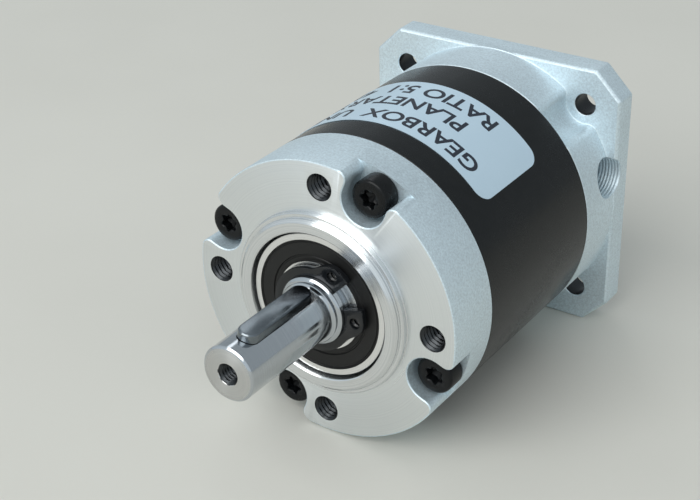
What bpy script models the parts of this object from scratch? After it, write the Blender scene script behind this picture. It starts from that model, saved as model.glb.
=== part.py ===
"""Single-stage planetary gearbox, ratio 5:1, with a 42 mm round body, an 8 mm keyed output shaft and a square
motor flange with a clamp hub for a 5 mm motor shaft.

The shaft axis lies along Y. The output shaft points to -Y and the motor face looks to +Y. Lengths below are in
millimetres. An axial station s is measured from the output flange's front face: positive towards the shaft tip,
negative towards the motor.
"""

import math

import bmesh
import bpy
from mathutils import Matrix

MM = 0.001

# ---------------------------------------------------------------- driving dimensions (mm)
SHAFT_OUT = 21.0  # shaft tip in front of the output face
BODY_LENGTH = 50.8  # output face to motor face
MID = (SHAFT_OUT - BODY_LENGTH) / -2.0  # station of the middle of the whole length, behind the face

BODY_R = 21.0  # output flange and ring gear housing
REAR_BODY_R = 21.1  # round part of the motor flange
SQUARE = 42.3  # motor flange, NEMA 17
SQUARE_CHAMFER = 4.1
SQUARE_T = 4.3
FLANGE_T = 9.6  # side length of the output flange
RING_END = 37.96  # ring gear housing ends here
JOINT_GAP = 0.02

BOSS_R, BOSS_H = 13.65, 1.7
SPIGOT_R = 16.0
OUTPUT_HOLE_PCD_R = 17.5  # four M4 threads
M4_CORE_R, M4_DEPTH = 1.7, 8.0
SCREW_PCD_R = 18.2  # four M3 body screws, front and rear
SCREW_ANGLES = (68.0, -22.0, -112.0, 158.0)
NOTCH_R, NOTCH_FLOOR, NOTCH_FILLET = 3.4, 4.4, 1.3
HEAD_R, HEAD_H, M3_R = 2.75, 2.95, 1.5

MOTOR_HOLE_SPACING = 31.0
MOTOR_HOLE_R = 1.7
SCALLOP_R = 3.15
CAVITY_R = 11.0  # also the motor's 22 mm pilot
ACCESS_R, ACCESS_Z, ACCESS_S = 3.05, 5.2, -45.2

SHAFT_R, JOURNAL_R, SHOULDER_R = 4.0, 5.0, 6.0
KEY_ANGLE, KEY_W, KEY_L, KEY_TOP = 80.0, 3.0, 14.0, 5.2
KEY_NEAR = 18.6
CIRCLIP_ANGLE = 33.0

# gear train: sun on the input, planets on the output carrier, ring fixed
MODULE = 0.6
PRESSURE = math.radians(20.0)
SUN_T, PLANET_T, RING_T = 12, 18, 48
CENTRES = MODULE * (SUN_T + PLANET_T) / 2
GEAR_ANGLE = 90.0  # planet 1 stands at the top
PLANET_ANGLES = [GEAR_ANGLE + 120.0 * i for i in range(3)]
PLANET_FRONT, PLANET_REAR = -16.9, -25.9
CARRIER_R = 13.4
POST_PCD_R, POST_R = 11.0, 2.1

ROUND = 32  # sides of a large round piece

for old in list(bpy.data.objects):
    bpy.data.objects.remove(old, do_unlink=True)


# ---------------------------------------------------------------- helpers
def to_y(s):
    return (-s - MID) * MM


def polar(r, degrees):
    a = math.radians(degrees)
    return r * math.cos(a), r * math.sin(a)


def arc(cx, cz, r, a0, a1, n):
    """Points on an arc in the XZ plane, from a0 to a1 degrees, both ends included."""
    return [
        (cx + r * math.cos(math.radians(a0 + (a1 - a0) * k / n)), cz + r * math.sin(math.radians(a0 + (a1 - a0) * k / n)))
        for k in range(n + 1)
    ]


def circle(cx, cz, r, n, around=False, phase=0.0):
    """Points of a round outline. around=True puts the flats at r, for a hole; otherwise the corners are at r."""
    rr = r / math.cos(math.pi / n) if around else r
    return [
        (cx + rr * math.cos(2 * math.pi * (k + 0.5) / n + phase), cz + rr * math.sin(2 * math.pi * (k + 0.5) / n + phase))
        for k in range(n)
    ]


def turned(x, z, degrees):
    c, s = math.cos(math.radians(degrees)), math.sin(math.radians(degrees))
    return x * c - z * s, x * s + z * c


def add_turned(bm, profile, n, cx=0.0, cz=0.0):
    """Adds the body that a closed (s, r) profile sweeps round an axis parallel to Y through (cx, cz)."""
    before = set(bm.verts)
    verts = [bm.verts.new((r * MM, to_y(s), 0.0)) for s, r in profile]
    edges = [bm.edges.new((verts[i], verts[(i + 1) % len(verts)])) for i in range(len(verts))]
    # half a step of turn, so that a round piece and its round hole have their corners on the same lines
    bmesh.ops.rotate(bm, verts=verts, cent=(0, 0, 0), matrix=Matrix.Rotation(math.pi / n, 3, "Y"))
    bmesh.ops.spin(bm, geom=verts + edges, cent=(0, 0, 0), axis=(0, 1, 0), dvec=(0, 0, 0), angle=2 * math.pi, steps=n, use_merge=True, use_duplicate=False)
    made = [v for v in bm.verts if v not in before]
    bmesh.ops.remove_doubles(bm, verts=made, dist=1e-7)
    made = [v for v in bm.verts if v not in before]
    on_axis = [e for e in bm.edges if not e.link_faces]
    if on_axis:
        bmesh.ops.delete(bm, geom=on_axis, context="EDGES")
        made = [v for v in bm.verts if v not in before]
    bmesh.ops.dissolve_degenerate(bm, dist=1e-8, edges=bm.edges)
    made = [v for v in bm.verts if v not in before]
    bmesh.ops.translate(bm, verts=made, vec=(cx * MM, 0, cz * MM))


def add_plate(bm, loops, s0, s1):
    """Adds a plate between stations s0 and s1. The first loop is its outline and the others are its holes."""
    edges = []
    for loop in loops:
        ring = [bm.verts.new((x * MM, to_y(s0), z * MM)) for x, z in loop]
        edges += [bm.edges.new((ring[i], ring[(i + 1) % len(ring)])) for i in range(len(ring))]
    filled = bmesh.ops.triangle_fill(bm, use_beauty=True, use_dissolve=False, edges=edges)
    faces = [g for g in filled["geom"] if isinstance(g, bmesh.types.BMFace)]
    grown = bmesh.ops.extrude_face_region(bm, geom=faces)
    moved = [g for g in grown["geom"] if isinstance(g, bmesh.types.BMVert)]
    bmesh.ops.translate(bm, verts=moved, vec=(0, to_y(s1) - to_y(s0), 0))


def material(name, colour, roughness, metallic):
    made = bpy.data.materials.get(name) or bpy.data.materials.new(name)
    made.use_nodes = True
    shader = made.node_tree.nodes["Principled BSDF"]
    shader.inputs["Base Color"].default_value = (*colour, 1.0)
    shader.inputs["Roughness"].default_value = roughness
    shader.inputs["Metallic"].default_value = metallic
    made.diffuse_color = (*colour, 1.0)
    return made


MACHINED = ("machined_aluminium", (0.80, 0.82, 0.84), 0.30, 1.0)
BLASTED = ("blasted_aluminium", (0.66, 0.71, 0.75), 0.48, 1.0)
BLACK_ANODISED = ("black_housing", (0.035, 0.035, 0.038), 0.45, 0.2)
GROUND = ("ground_steel", (0.70, 0.71, 0.73), 0.18, 1.0)
GEAR_STEEL = ("gear_steel", (0.45, 0.45, 0.47), 0.35, 1.0)
BLACK_OXIDE = ("black_oxide_steel", (0.03, 0.03, 0.033), 0.35, 0.8)
KEY_STEEL = ("key_steel", (0.16, 0.16, 0.17), 0.35, 1.0)
BEARING = ("bearing_steel", (0.75, 0.76, 0.78), 0.15, 1.0)
RUBBER = ("seal_rubber", (0.02, 0.02, 0.022), 0.6, 0.0)
BRONZE = ("bronze", (0.60, 0.42, 0.22), 0.35, 1.0)
LABEL = ("label_film", (0.72, 0.75, 0.78), 0.45, 0.0)


def make(name, bm, finish, axis=(0.0, 0.0), smooth=32.0):
    """Makes the node from bm, with its origin on the axis parallel to Y through axis."""
    bmesh.ops.recalc_face_normals(bm, faces=bm.faces)
    bmesh.ops.translate(bm, verts=bm.verts, vec=(-axis[0] * MM, 0, -axis[1] * MM))
    mesh = bpy.data.meshes.new(name)
    bm.to_mesh(mesh)
    bm.free()
    mesh.shade_smooth()
    mesh.set_sharp_from_angle(angle=math.radians(smooth))
    obj = bpy.data.objects.new(name, mesh)
    bpy.context.scene.collection.objects.link(obj)
    obj.location = (axis[0] * MM, 0, axis[1] * MM)
    if finish:
        obj.data.materials.append(material(*finish))
    return obj


def cutter(name, bm):
    obj = make(name, bm, None)
    obj.hide_render = True
    obj.display_type = "WIRE"
    return obj


def boolean(target, name, tool, operation="DIFFERENCE"):
    modifier = target.modifiers.new(name, "BOOLEAN")
    modifier.operation = operation
    modifier.object = tool
    modifier.solver = "EXACT"
    return target


def turned_node(name, profile, n, finish, axis=(0.0, 0.0)):
    bm = bmesh.new()
    add_turned(bm, profile, n, *axis)
    return make(name, bm, finish, axis)


def gear_outline(teeth, addendum, dedendum, thinning, flank=2, phase=0.0):
    """Involute spur gear outline, with a tooth centred on phase degrees."""
    pitch = MODULE * teeth / 2
    base = pitch * math.cos(PRESSURE)
    tip, root = pitch + addendum, pitch - dedendum
    half = (math.pi * MODULE / 2 - thinning) / (2 * pitch)
    involute = math.tan(PRESSURE) - PRESSURE

    def half_angle(r):
        if r <= base:
            return half + involute
        a = math.acos(base / r)
        return half + involute - (math.tan(a) - a)

    low = max(root, base)
    radii = ([root] if low > root + 0.02 else []) + [low + (tip - low) * k / (flank - 1) for k in range(flank)]
    points = []
    for tooth in range(teeth):
        centre = math.radians(phase) + 2 * math.pi * tooth / teeth
        points += [(r * math.cos(centre - half_angle(r)), r * math.sin(centre - half_angle(r))) for r in radii]
        points += [(r * math.cos(centre + half_angle(r)), r * math.sin(centre + half_angle(r))) for r in reversed(radii)]
    return points


def shifted(points, cx, cz):
    return [(x + cx, z + cz) for x, z in points]


def slot_outline(length, width, n):
    """Full-round slot along X, centred on the origin."""
    r = width / 2
    h = length / 2 - r
    return arc(h, 0, r, -90, 90, n) + arc(-h, 0, r, 90, 270, n)


# ---------------------------------------------------------------- output flange
flange_profile = [
    (0.0, BOSS_R),
    (0.9, BOSS_R),
    (0.9, 12.95),
    (1.35, 12.95),
    (BOSS_H, 12.6),
    (BOSS_H, 11.0),
    (-5.1, 11.0),
    (-5.1, 9.4),
    (-6.9, 9.4),
    (-6.9, 12.0),
    (-13.4, 12.0),
    (-13.4, SPIGOT_R),
    (-12.5, SPIGOT_R),
    (-12.5, 15.2),
    (-11.2, 15.2),
    (-11.2, SPIGOT_R),
    (-FLANGE_T, SPIGOT_R),
    (-FLANGE_T, BODY_R),
    (-0.2, BODY_R),
    (0.0, BODY_R - 0.2),
]
output_flange = turned_node("output_flange", flange_profile, ROUND, MACHINED)


def notch_outline(degrees):
    """Screw pocket, open to the outside of the flange, with rounded corners at its mouth."""
    fillet_c = math.sqrt((BODY_R - NOTCH_FILLET) ** 2 - (NOTCH_R + NOTCH_FILLET) ** 2)
    out = []
    lead = math.degrees(math.atan2(NOTCH_R + NOTCH_FILLET, fillet_c))
    # one side, from the mouth inwards
    right = arc(fillet_c, -(NOTCH_R + NOTCH_FILLET), NOTCH_FILLET, -lead, 90, 3)
    out += [(BODY_R + 3, right[0][1])]
    out += right
    out += arc(SCREW_PCD_R, 0, NOTCH_R, 270, 90, 7)
    out += [(x, -z) for x, z in reversed(right)]
    out += [(BODY_R + 3, -right[0][1])]
    return [turned(x, z, degrees) for x, z in out]


bm = bmesh.new()
for angle in SCREW_ANGLES:
    add_plate(bm, [notch_outline(angle)], 1.0, -NOTCH_FLOOR)
boolean(output_flange, "screw_pockets", cutter("cut_screw_pockets", bm))
bm = bmesh.new()
for k in range(4):
    x, z = polar(OUTPUT_HOLE_PCD_R, 90.0 * k)
    add_plate(bm, [circle(x, z, M4_CORE_R, 10, True)], 1.0, -M4_DEPTH)
for angle in SCREW_ANGLES:
    x, z = polar(SCREW_PCD_R, angle)
    add_plate(bm, [circle(x, z, M3_R + 0.1, 8, True)], -NOTCH_FLOOR + 1.0, -FLANGE_T - 1.0)
boolean(output_flange, "holes", cutter("cut_output_holes", bm))

# ---------------------------------------------------------------- ring gear housing
front, rear = -FLANGE_T - JOINT_GAP, -RING_END + JOINT_GAP
RING_TIP = MODULE * RING_T / 2 - 0.8 * MODULE
ring_profile = [
    (front, BODY_R),
    (front, SPIGOT_R + 0.06),
    (-14.2, SPIGOT_R + 0.06),
    (-14.2, 15.5),
    (-16.2, 15.5),
    (-16.2, RING_TIP),
    (-26.6, RING_TIP),
    (-26.6, 15.5),
    (-31.3, 15.5),
    (-31.3, SPIGOT_R + 0.06),
    (rear, SPIGOT_R + 0.06),
    (rear, BODY_R),
]
ring_gear = turned_node("ring_gear", ring_profile, ROUND, BLACK_ANODISED)
bm = bmesh.new()
spaces = gear_outline(RING_T, 1.2 * MODULE, 0.9 * MODULE, -0.06, phase=GEAR_ANGLE)
add_plate(bm, [spaces], -15.8, -27.0)
boolean(ring_gear, "teeth", cutter("cut_ring_teeth", bm))
bm = bmesh.new()
for angle in SCREW_ANGLES:
    x, z = polar(SCREW_PCD_R, angle)
    add_plate(bm, [circle(x, z, M3_R + 0.05, 8, True)], front + 1.0, -15.6)
    add_plate(bm, [circle(x, z, M3_R + 0.05, 8, True)], -32.2, rear - 1.0)
boolean(ring_gear, "screw_threads", cutter("cut_ring_screws", bm))

# ---------------------------------------------------------------- motor flange
S_PLATE = -(BODY_LENGTH - SQUARE_T)
input_profile = [
    (-31.9, SPIGOT_R),
    (-34.6, SPIGOT_R),
    (-34.6, 15.2),
    (-35.9, 15.2),
    (-35.9, SPIGOT_R),
    (-RING_END, SPIGOT_R),
    (-RING_END, REAR_BODY_R),
    (S_PLATE - 0.2, REAR_BODY_R),
    (S_PLATE - 0.2, CAVITY_R),
    (-40.9, CAVITY_R),
    (-40.9, 10.4),
    (-39.65, 10.4),
    (-39.65, 12.0),
    (-33.55, 12.0),
    (-33.55, 12.5),
    (-32.45, 12.5),
    (-32.45, 12.0),
    (-31.9, 12.0),
]
input_flange = turned_node("input_flange", input_profile, ROUND, BLASTED)
half, corner = SQUARE / 2, SQUARE / 2 - SQUARE_CHAMFER
square = [(half, -corner), (half, corner), (corner, half), (-corner, half), (-half, corner), (-half, -corner), (-corner, -half), (corner, -half)]
bm = bmesh.new()
add_plate(bm, [square, circle(0, 0, CAVITY_R, ROUND)], S_PLATE, -BODY_LENGTH)
boolean(input_flange, "square_plate", cutter("add_square_plate", bm), "UNION")
bm = bmesh.new()
for sx in (-1, 1):
    for sz in (-1, 1):
        x, z = sx * MOTOR_HOLE_SPACING / 2, sz * MOTOR_HOLE_SPACING / 2
        add_plate(bm, [circle(x, z, SCALLOP_R, 16)], -RING_END + 2.0, S_PLATE)
boolean(input_flange, "scallops", cutter("cut_scallops", bm))
bm = bmesh.new()
for sx in (-1, 1):
    for sz in (-1, 1):
        x, z = sx * MOTOR_HOLE_SPACING / 2, sz * MOTOR_HOLE_SPACING / 2
        add_plate(bm, [circle(x, z, MOTOR_HOLE_R, 10, True)], S_PLATE + 1.0, -BODY_LENGTH - 1.0)
for angle in SCREW_ANGLES:
    x, z = polar(SCREW_PCD_R, angle)
    add_plate(bm, [circle(x, z, HEAD_R + 0.25, 10, True)], -47.2, -BODY_LENGTH - 1.0)
boolean(input_flange, "motor_side_holes", cutter("cut_motor_side", bm))
bm = bmesh.new()
for angle in SCREW_ANGLES:
    x, z = polar(SCREW_PCD_R, angle)
    add_plate(bm, [circle(x, z, M3_R + 0.1, 8, True)], -RING_END + 1.0, -48.0)
boolean(input_flange, "body_screw_holes", cutter("cut_body_screws", bm))
bm = bmesh.new()
add_plate(bm, [circle(0, 0, ACCESS_R, 16, True)], -MID - 7.5, -MID - 24.0)
bmesh.ops.rotate(bm, verts=bm.verts, cent=(0, 0, 0), matrix=Matrix.Rotation(math.radians(-90), 3, "Z"))
bmesh.ops.translate(bm, verts=bm.verts, vec=(0, to_y(ACCESS_S), ACCESS_Z * MM))
boolean(input_flange, "clamp_access", cutter("cut_clamp_access", bm))


# ---------------------------------------------------------------- socket-head screws
def socket_screw(name, finish, head_r, head_h, shank_r, length, socket_r, socket_depth):
    """A cap screw along Y with its head's underside at the origin and its head towards -Y."""
    bm = bmesh.new()
    profile = [(0.0, head_r), (-head_h + 0.3, head_r), (-head_h, head_r - 0.3), (-head_h, socket_r), (-head_h + socket_depth, socket_r), (-head_h + socket_depth, 0.0), (length, 0.0), (length, shank_r), (0.0, shank_r)]
    n = 8
    ring = [bm.verts.new((r * MM, y * MM, 0.0)) for y, r in profile]
    edges = [bm.edges.new((ring[i], ring[(i + 1) % len(ring)])) for i in range(len(ring))]
    bmesh.ops.rotate(bm, verts=ring, cent=(0, 0, 0), matrix=Matrix.Rotation(math.pi / n, 3, "Y"))
    bmesh.ops.spin(bm, geom=ring + edges, cent=(0, 0, 0), axis=(0, 1, 0), dvec=(0, 0, 0), angle=2 * math.pi, steps=n, use_merge=True, use_duplicate=False)
    bmesh.ops.remove_doubles(bm, verts=bm.verts, dist=1e-7)
    loose = [e for e in bm.edges if not e.link_faces]
    if loose:
        bmesh.ops.delete(bm, geom=loose, context="EDGES")
    bmesh.ops.dissolve_degenerate(bm, dist=1e-8, edges=bm.edges)
    return make(name, bm, finish)


for k, angle in enumerate(SCREW_ANGLES, 1):
    x, z = polar(SCREW_PCD_R, angle)
    screw = socket_screw(f"output_flange_screw_{k}", BLACK_OXIDE, HEAD_R, HEAD_H, M3_R - 0.02, 10.0, 1.35, 1.5)
    screw.location = (x * MM, to_y(-NOTCH_FLOOR + 0.02), z * MM)
    screw = socket_screw(f"input_flange_screw_{k}", BLACK_OXIDE, HEAD_R, HEAD_H, M3_R - 0.02, 14.0, 1.35, 1.5)
    screw.rotation_euler = (math.pi, 0, 0)
    screw.location = (x * MM, to_y(-47.22), z * MM)

# ---------------------------------------------------------------- O-rings and label
for name, s in (("output_flange_o_ring", -11.85), ("input_flange_o_ring", -35.25)):
    ring = [(s + 0.34 * math.sin(2 * math.pi * k / 6), 15.69 + 0.26 * math.cos(2 * math.pi * k / 6)) for k in range(6)]
    turned_node(name, ring, 20, RUBBER)

LABEL_FROM, LABEL_TO, LABEL_FRONT, LABEL_REAR = 38.6, 141.4, -14.6, -30.3
bm = bmesh.new()
outline = arc(0, 0, BODY_R + 0.11, LABEL_FROM, LABEL_TO, 16) + arc(0, 0, BODY_R + 0.04, LABEL_TO, LABEL_FROM, 16)
add_plate(bm, [outline], LABEL_FRONT, LABEL_REAR)
make("name_label", bm, LABEL)


# ---------------------------------------------------------------- ball bearings
def bearing(prefix, s_front, bore, outside, width, ball_r, balls, land_in, land_out, seals, n=20):
    """Deep-groove bearing between stations s_front and s_front - width. Each seal is (node name, at the front?)."""
    s_rear = s_front - width
    mid = s_front - width / 2
    pitch = (bore + outside) / 2
    groove = ball_r + 0.08
    at_front = any(front for _, front in seals)
    at_rear = any(not front for _, front in seals)

    grow = 1.0 / math.cos(math.pi / n)  # an outer raceway's flats must clear the balls

    def raceway(side, land):
        reach = math.sqrt(groove**2 - (land - pitch) ** 2)
        deep = (pitch + side * math.sqrt(groove**2 - (0.6 * reach) ** 2)) * (grow if side > 0 else 1.0)
        return [(mid - reach, land), (mid - 0.6 * reach, deep), (mid + 0.6 * reach, deep), (mid + reach, land)]

    def step(land, seat, rear):
        """The ring's corner at one end, with a seat for the seal where there is one."""
        end, deep = (s_rear, s_rear + 0.75) if rear else (s_front, s_front - 0.75)
        sealed = at_rear if rear else at_front
        return [(end, seat), (deep, seat), (deep, land)] if sealed else [(end, land)]

    inner = step(land_in, land_in - 0.35, True) + raceway(-1, land_in) + list(reversed(step(land_in, land_in - 0.35, False)))
    inner += [(s_front, bore * grow + 0.02), (s_rear, bore * grow + 0.02)]
    turned_node(f"{prefix}_inner_ring", inner, n, BEARING)
    outer = step(land_out, land_out + 0.3, True) + raceway(1, land_out) + list(reversed(step(land_out, land_out + 0.3, False)))
    outer += [(s_front, outside - 0.1), (s_rear, outside - 0.1)]
    turned_node(f"{prefix}_outer_ring", outer, n, BEARING)
    # the balls and the cage that carries them turn as one
    cage = turned_node(f"{prefix}_balls", [(mid + 0.7, pitch - 0.25), (mid + 0.7, pitch + 0.25), (mid - 0.7, pitch + 0.25), (mid - 0.7, pitch - 0.25)], 12, BEARING)
    bm = bmesh.new()
    for k in range(balls):
        x, z = polar(pitch, 360.0 * k / balls)
        bmesh.ops.create_uvsphere(bm, u_segments=6, v_segments=4, radius=(ball_r - 0.02) * MM, matrix=Matrix.Translation((x * MM, to_y(mid), z * MM)))
    boolean(cage, "balls", cutter(f"add_{prefix}_balls", bm), "UNION")
    for name, front_side in seals:
        a, b = (s_front - 0.12, s_front - 0.6) if front_side else (s_rear + 0.12, s_rear + 0.6)
        turned_node(name, [(a, land_in - 0.22), (a, land_out + 0.2), (b, land_out + 0.2), (b, land_in - 0.22)], n, RUBBER)


bearing("front_bearing", 0.9, JOURNAL_R, 11.0, 6.0, 1.5, 8, 6.95, 9.5, (("front_bearing_seal", True), ("front_bearing_rear_seal", False)))
bearing("rear_bearing", -6.95, SHOULDER_R, 12.0, 6.0, 1.5, 8, 7.9, 10.1, (("rear_bearing_seal", False),))
bearing("input_bearing", -33.6, SHOULDER_R, 12.0, 6.0, 1.5, 8, 7.9, 10.1, (("input_bearing_seal", False),))

# ---------------------------------------------------------------- output shaft with carrier
DISC_FRONT, DISC_REAR = -13.7, -16.4
shaft_profile = [
    (SHAFT_OUT - 10.0, 0.0),
    (SHAFT_OUT - 10.0, 1.3),
    (SHAFT_OUT, 1.3),
    (SHAFT_OUT, SHAFT_R - 0.3),
    (SHAFT_OUT - 0.3, SHAFT_R),
    (3.0, SHAFT_R),
    (2.9, 4.65),
    (2.55, JOURNAL_R),
    (2.15, JOURNAL_R),
    (2.15, 4.75),
    (0.98, 4.75),
    (0.98, JOURNAL_R),
    (-5.3, JOURNAL_R),
    (-5.3, SHOULDER_R),
    (-13.1, SHOULDER_R),
    (-13.1, 7.3),
    (DISC_FRONT, 7.3),
    (DISC_FRONT, CARRIER_R),
    (DISC_REAR, CARRIER_R),
    (DISC_REAR, 0.0),
]
output_shaft = turned_node("output_shaft", shaft_profile, 24, GROUND)
bm = bmesh.new()
for angle in PLANET_ANGLES:
    x, z = polar(POST_PCD_R, angle + 60.0)
    add_plate(bm, [circle(x, z, POST_R, 12)], DISC_REAR + 0.5, PLANET_REAR - 0.45)
boolean(output_shaft, "posts", cutter("add_carrier_posts", bm), "UNION")
bm = bmesh.new()
key_mid = KEY_NEAR - KEY_L / 2
outline = [(x, z) for x, z in slot_outline(KEY_L + 0.2, KEY_W + 0.1, 5)]
# the keyway is drawn in the plan of the shaft's top and cut down to 1.8 mm below its surface
add_plate(bm, [outline], -MID - (SHAFT_R - 1.8), -MID - 8.0)
bmesh.ops.rotate(bm, verts=bm.verts, cent=(0, 0, 0), matrix=Matrix.Rotation(math.radians(90), 3, "X"))
bmesh.ops.rotate(bm, verts=bm.verts, cent=(0, 0, 0), matrix=Matrix.Rotation(math.radians(90), 3, "Z"))
bmesh.ops.translate(bm, verts=bm.verts, vec=(0, to_y(key_mid), 0))
bmesh.ops.rotate(bm, verts=bm.verts, cent=(0, 0, 0), matrix=Matrix.Rotation(math.radians(90 - KEY_ANGLE), 3, "Y"))
boolean(output_shaft, "keyway", cutter("cut_keyway", bm))
bm = bmesh.new()
for angle in PLANET_ANGLES:
    x, z = polar(CENTRES, angle)
    add_plate(bm, [circle(x, z, 1.54, 10, True)], DISC_FRONT + 1.0, DISC_REAR - 1.0)
    x, z = polar(POST_PCD_R, angle + 60.0)
    add_plate(bm, [circle(x, z, 1.03, 8, True)], -22.6, PLANET_REAR - 2.0)
boolean(output_shaft, "pin_and_screw_holes", cutter("cut_carrier_holes", bm))

# ---------------------------------------------------------------- key and retaining ring on the shaft
bm = bmesh.new()
outline = slot_outline(KEY_L, KEY_W, 5)
add_plate(bm, [outline], -MID - (SHAFT_R - 1.8 + 0.04), -MID - KEY_TOP)
bmesh.ops.rotate(bm, verts=bm.verts, cent=(0, 0, 0), matrix=Matrix.Rotation(math.radians(90), 3, "X"))
bmesh.ops.rotate(bm, verts=bm.verts, cent=(0, 0, 0), matrix=Matrix.Rotation(math.radians(90), 3, "Z"))
bmesh.ops.translate(bm, verts=bm.verts, vec=(0, to_y(key_mid), 0))
bmesh.ops.rotate(bm, verts=bm.verts, cent=(0, 0, 0), matrix=Matrix.Rotation(math.radians(90 - KEY_ANGLE), 3, "Y"))
shaft_key = make("shaft_key", bm, KEY_STEEL)


def external_clip(inner_r, band, lug_r, gap_half, lug_half, phase, n=18):
    """Outline of an external retaining ring: a split band, thicker opposite its gap, with a lug at each end."""
    points = []
    start, end = gap_half, 360.0 - gap_half
    for k in range(n + 1):
        a = start + (end - start) * k / n
        inside = lug_half * 2
        if a < start + inside or a > end - inside:
            continue
        swell = band * (0.72 + 0.28 * (1 - math.cos(math.radians(a))) / 2)
        points.append(polar(inner_r + swell, a))
    first = arc(0, 0, lug_r, start, start + lug_half * 1.5, 3)
    last = arc(0, 0, lug_r, end - lug_half * 1.5, end, 3)
    inner = arc(0, 0, inner_r, end, start, n)
    return [turned(x, z, phase) for x, z in first + points + last + inner]


def clip_node(name, outline, holes, s0, s1):
    bm = bmesh.new()
    add_plate(bm, [outline] + holes, s0, s1)
    return make(name, bm, BLACK_OXIDE)


outline = external_clip(4.82, 1.65, 8.1, 22.0, 11.0, CIRCLIP_ANGLE)
holes = [circle(*polar(6.75, CIRCLIP_ANGLE + side * 32.0), 0.75, 10) for side in (-1, 1)]
clip_node("shaft_circlip", outline, holes, 2.08, 1.05)

# ---------------------------------------------------------------- carrier plate, pins, washers, planets
PLATE_FRONT, PLATE_REAR = -26.4, -28.6
bm = bmesh.new()
loops = [circle(0, 0, CARRIER_R, 28), circle(0, 0, 4.9, 16, True)]
for angle in PLANET_ANGLES:
    loops.append(circle(*polar(CENTRES, angle), 1.54, 10, True))
add_plate(bm, loops, PLATE_FRONT, PLATE_REAR)
carrier_plate = make("carrier_plate", bm, GEAR_STEEL)
bm = bmesh.new()
for angle in PLANET_ANGLES:
    x, z = polar(POST_PCD_R, angle + 60.0)
    add_turned(bm, [(-26.0, 0.0), (-26.0, 1.12), (-27.4, 1.12), (-28.4, 2.15), (-29.0, 2.15), (-29.0, 0.0)], 10, x, z)
boolean(carrier_plate, "countersinks", cutter("cut_countersinks", bm))

for k, angle in enumerate(PLANET_ANGLES, 1):
    x, z = polar(POST_PCD_R, angle + 60.0)
    turned_node(f"carrier_screw_{k}", [(-23.0, 0.0), (-23.0, 0.98), (-27.45, 0.98), (-28.4, 2.0), (-28.55, 2.0), (-28.55, 0.8), (-27.6, 0.8), (-27.6, 0.0)], 8, BLACK_OXIDE, (x, z))
    x, z = polar(CENTRES, angle)
    pin_r = 1.5
    turned_node(f"planet_pin_{k}", [(-13.9, 0.0), (-13.9, pin_r), (-28.5, pin_r), (-28.5, 0.0)], 10, GROUND, (x, z))
    for name, s in ((f"planet_front_washer_{k}", PLANET_FRONT + 0.38), (f"planet_rear_washer_{k}", PLANET_REAR - 0.08)):
        bm = bmesh.new()
        add_plate(bm, [circle(x, z, 3.2, 14), circle(x, z, 1.56, 10, True)], s, s - 0.3)
        make(name, bm, BRONZE, (x, z))
    phase = GEAR_ANGLE + (angle - GEAR_ANGLE) * (1.0 - RING_T / PLANET_T)
    bm = bmesh.new()
    teeth = shifted(gear_outline(PLANET_T, 0.9 * MODULE, 1.2 * MODULE, 0.06, phase=phase), x, z)
    add_plate(bm, [teeth, circle(x, z, 2.35, 14, True)], PLANET_FRONT, PLANET_REAR)
    make(f"planet_gear_{k}", bm, GEAR_STEEL, (x, z))
    bm = bmesh.new()
    add_plate(bm, [circle(x, z, 2.3, 14), circle(x, z, 1.58, 10, True)], PLANET_FRONT - 0.1, PLANET_REAR + 0.1)
    make(f"planet_bush_{k}", bm, BRONZE, (x, z))

# ---------------------------------------------------------------- sun gear and motor clamp
bm = bmesh.new()
sun_phase = GEAR_ANGLE + 180.0 / SUN_T
add_plate(bm, [gear_outline(SUN_T, 0.9 * MODULE, 1.2 * MODULE, 0.06, phase=sun_phase)], -17.2, -27.4)
sun_gear = make("sun_gear", bm, GEAR_STEEL)
bm = bmesh.new()
add_turned(bm, [(-27.0, 0.0), (-27.0, 2.6), (-35.2, 2.6), (-35.5, 2.3), (-35.5, 0.0)], 16)
boolean(sun_gear, "shank", cutter("add_sun_shank", bm), "UNION")

hub_profile = [
    (-31.2, 2.66),
    (-31.2, 5.7),
    (-31.5, SHOULDER_R),
    (-32.4, SHOULDER_R),
    (-32.4, 5.75),
    (-33.52, 5.75),
    (-33.52, SHOULDER_R),
    (-39.7, SHOULDER_R),
    (-39.7, 7.4),
    (-41.2, 7.4),
    (-41.2, 3.3),
    (-48.5, 3.3),
    (-48.5, 2.8),
    (-48.2, 2.5),
    (-37.2, 2.5),
    (-36.6, 0.0),
    (-36.0, 0.0),
    (-36.0, 2.66),
]
hub = turned_node("input_clamp_hub", hub_profile, 16, GEAR_STEEL)
bm = bmesh.new()
add_plate(bm, [[(-4.5, -0.35), (4.5, -0.35), (4.5, 0.35), (-4.5, 0.35)]], -41.9, -50.0)
boolean(hub, "clamping_slot", cutter("cut_hub_slot", bm))

bm = bmesh.new()
add_plate(bm, [circle(0, 0, 9.6, 32), circle(0, 0, 3.37, 20, True)], -41.9, -48.4)
collar = make("clamp_collar", bm, BLACK_OXIDE)
bm = bmesh.new()
add_plate(bm, [[(-0.6, 2.0), (0.6, 2.0), (0.6, 11.0), (-0.6, 11.0)]], -40.0, -50.0)
boolean(collar, "slit", cutter("cut_collar_slit", bm))


def along_x(points_r, x0, x1):
    """Round cutter along X at the clamp screw's height."""
    bm = bmesh.new()
    add_plate(bm, [circle(0, 0, points_r, 10, True)], -MID - x0, -MID - x1)
    bmesh.ops.rotate(bm, verts=bm.verts, cent=(0, 0, 0), matrix=Matrix.Rotation(math.radians(-90), 3, "Z"))
    bmesh.ops.translate(bm, verts=bm.verts, vec=(0, to_y(ACCESS_S), ACCESS_Z * MM))
    return bm


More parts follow.
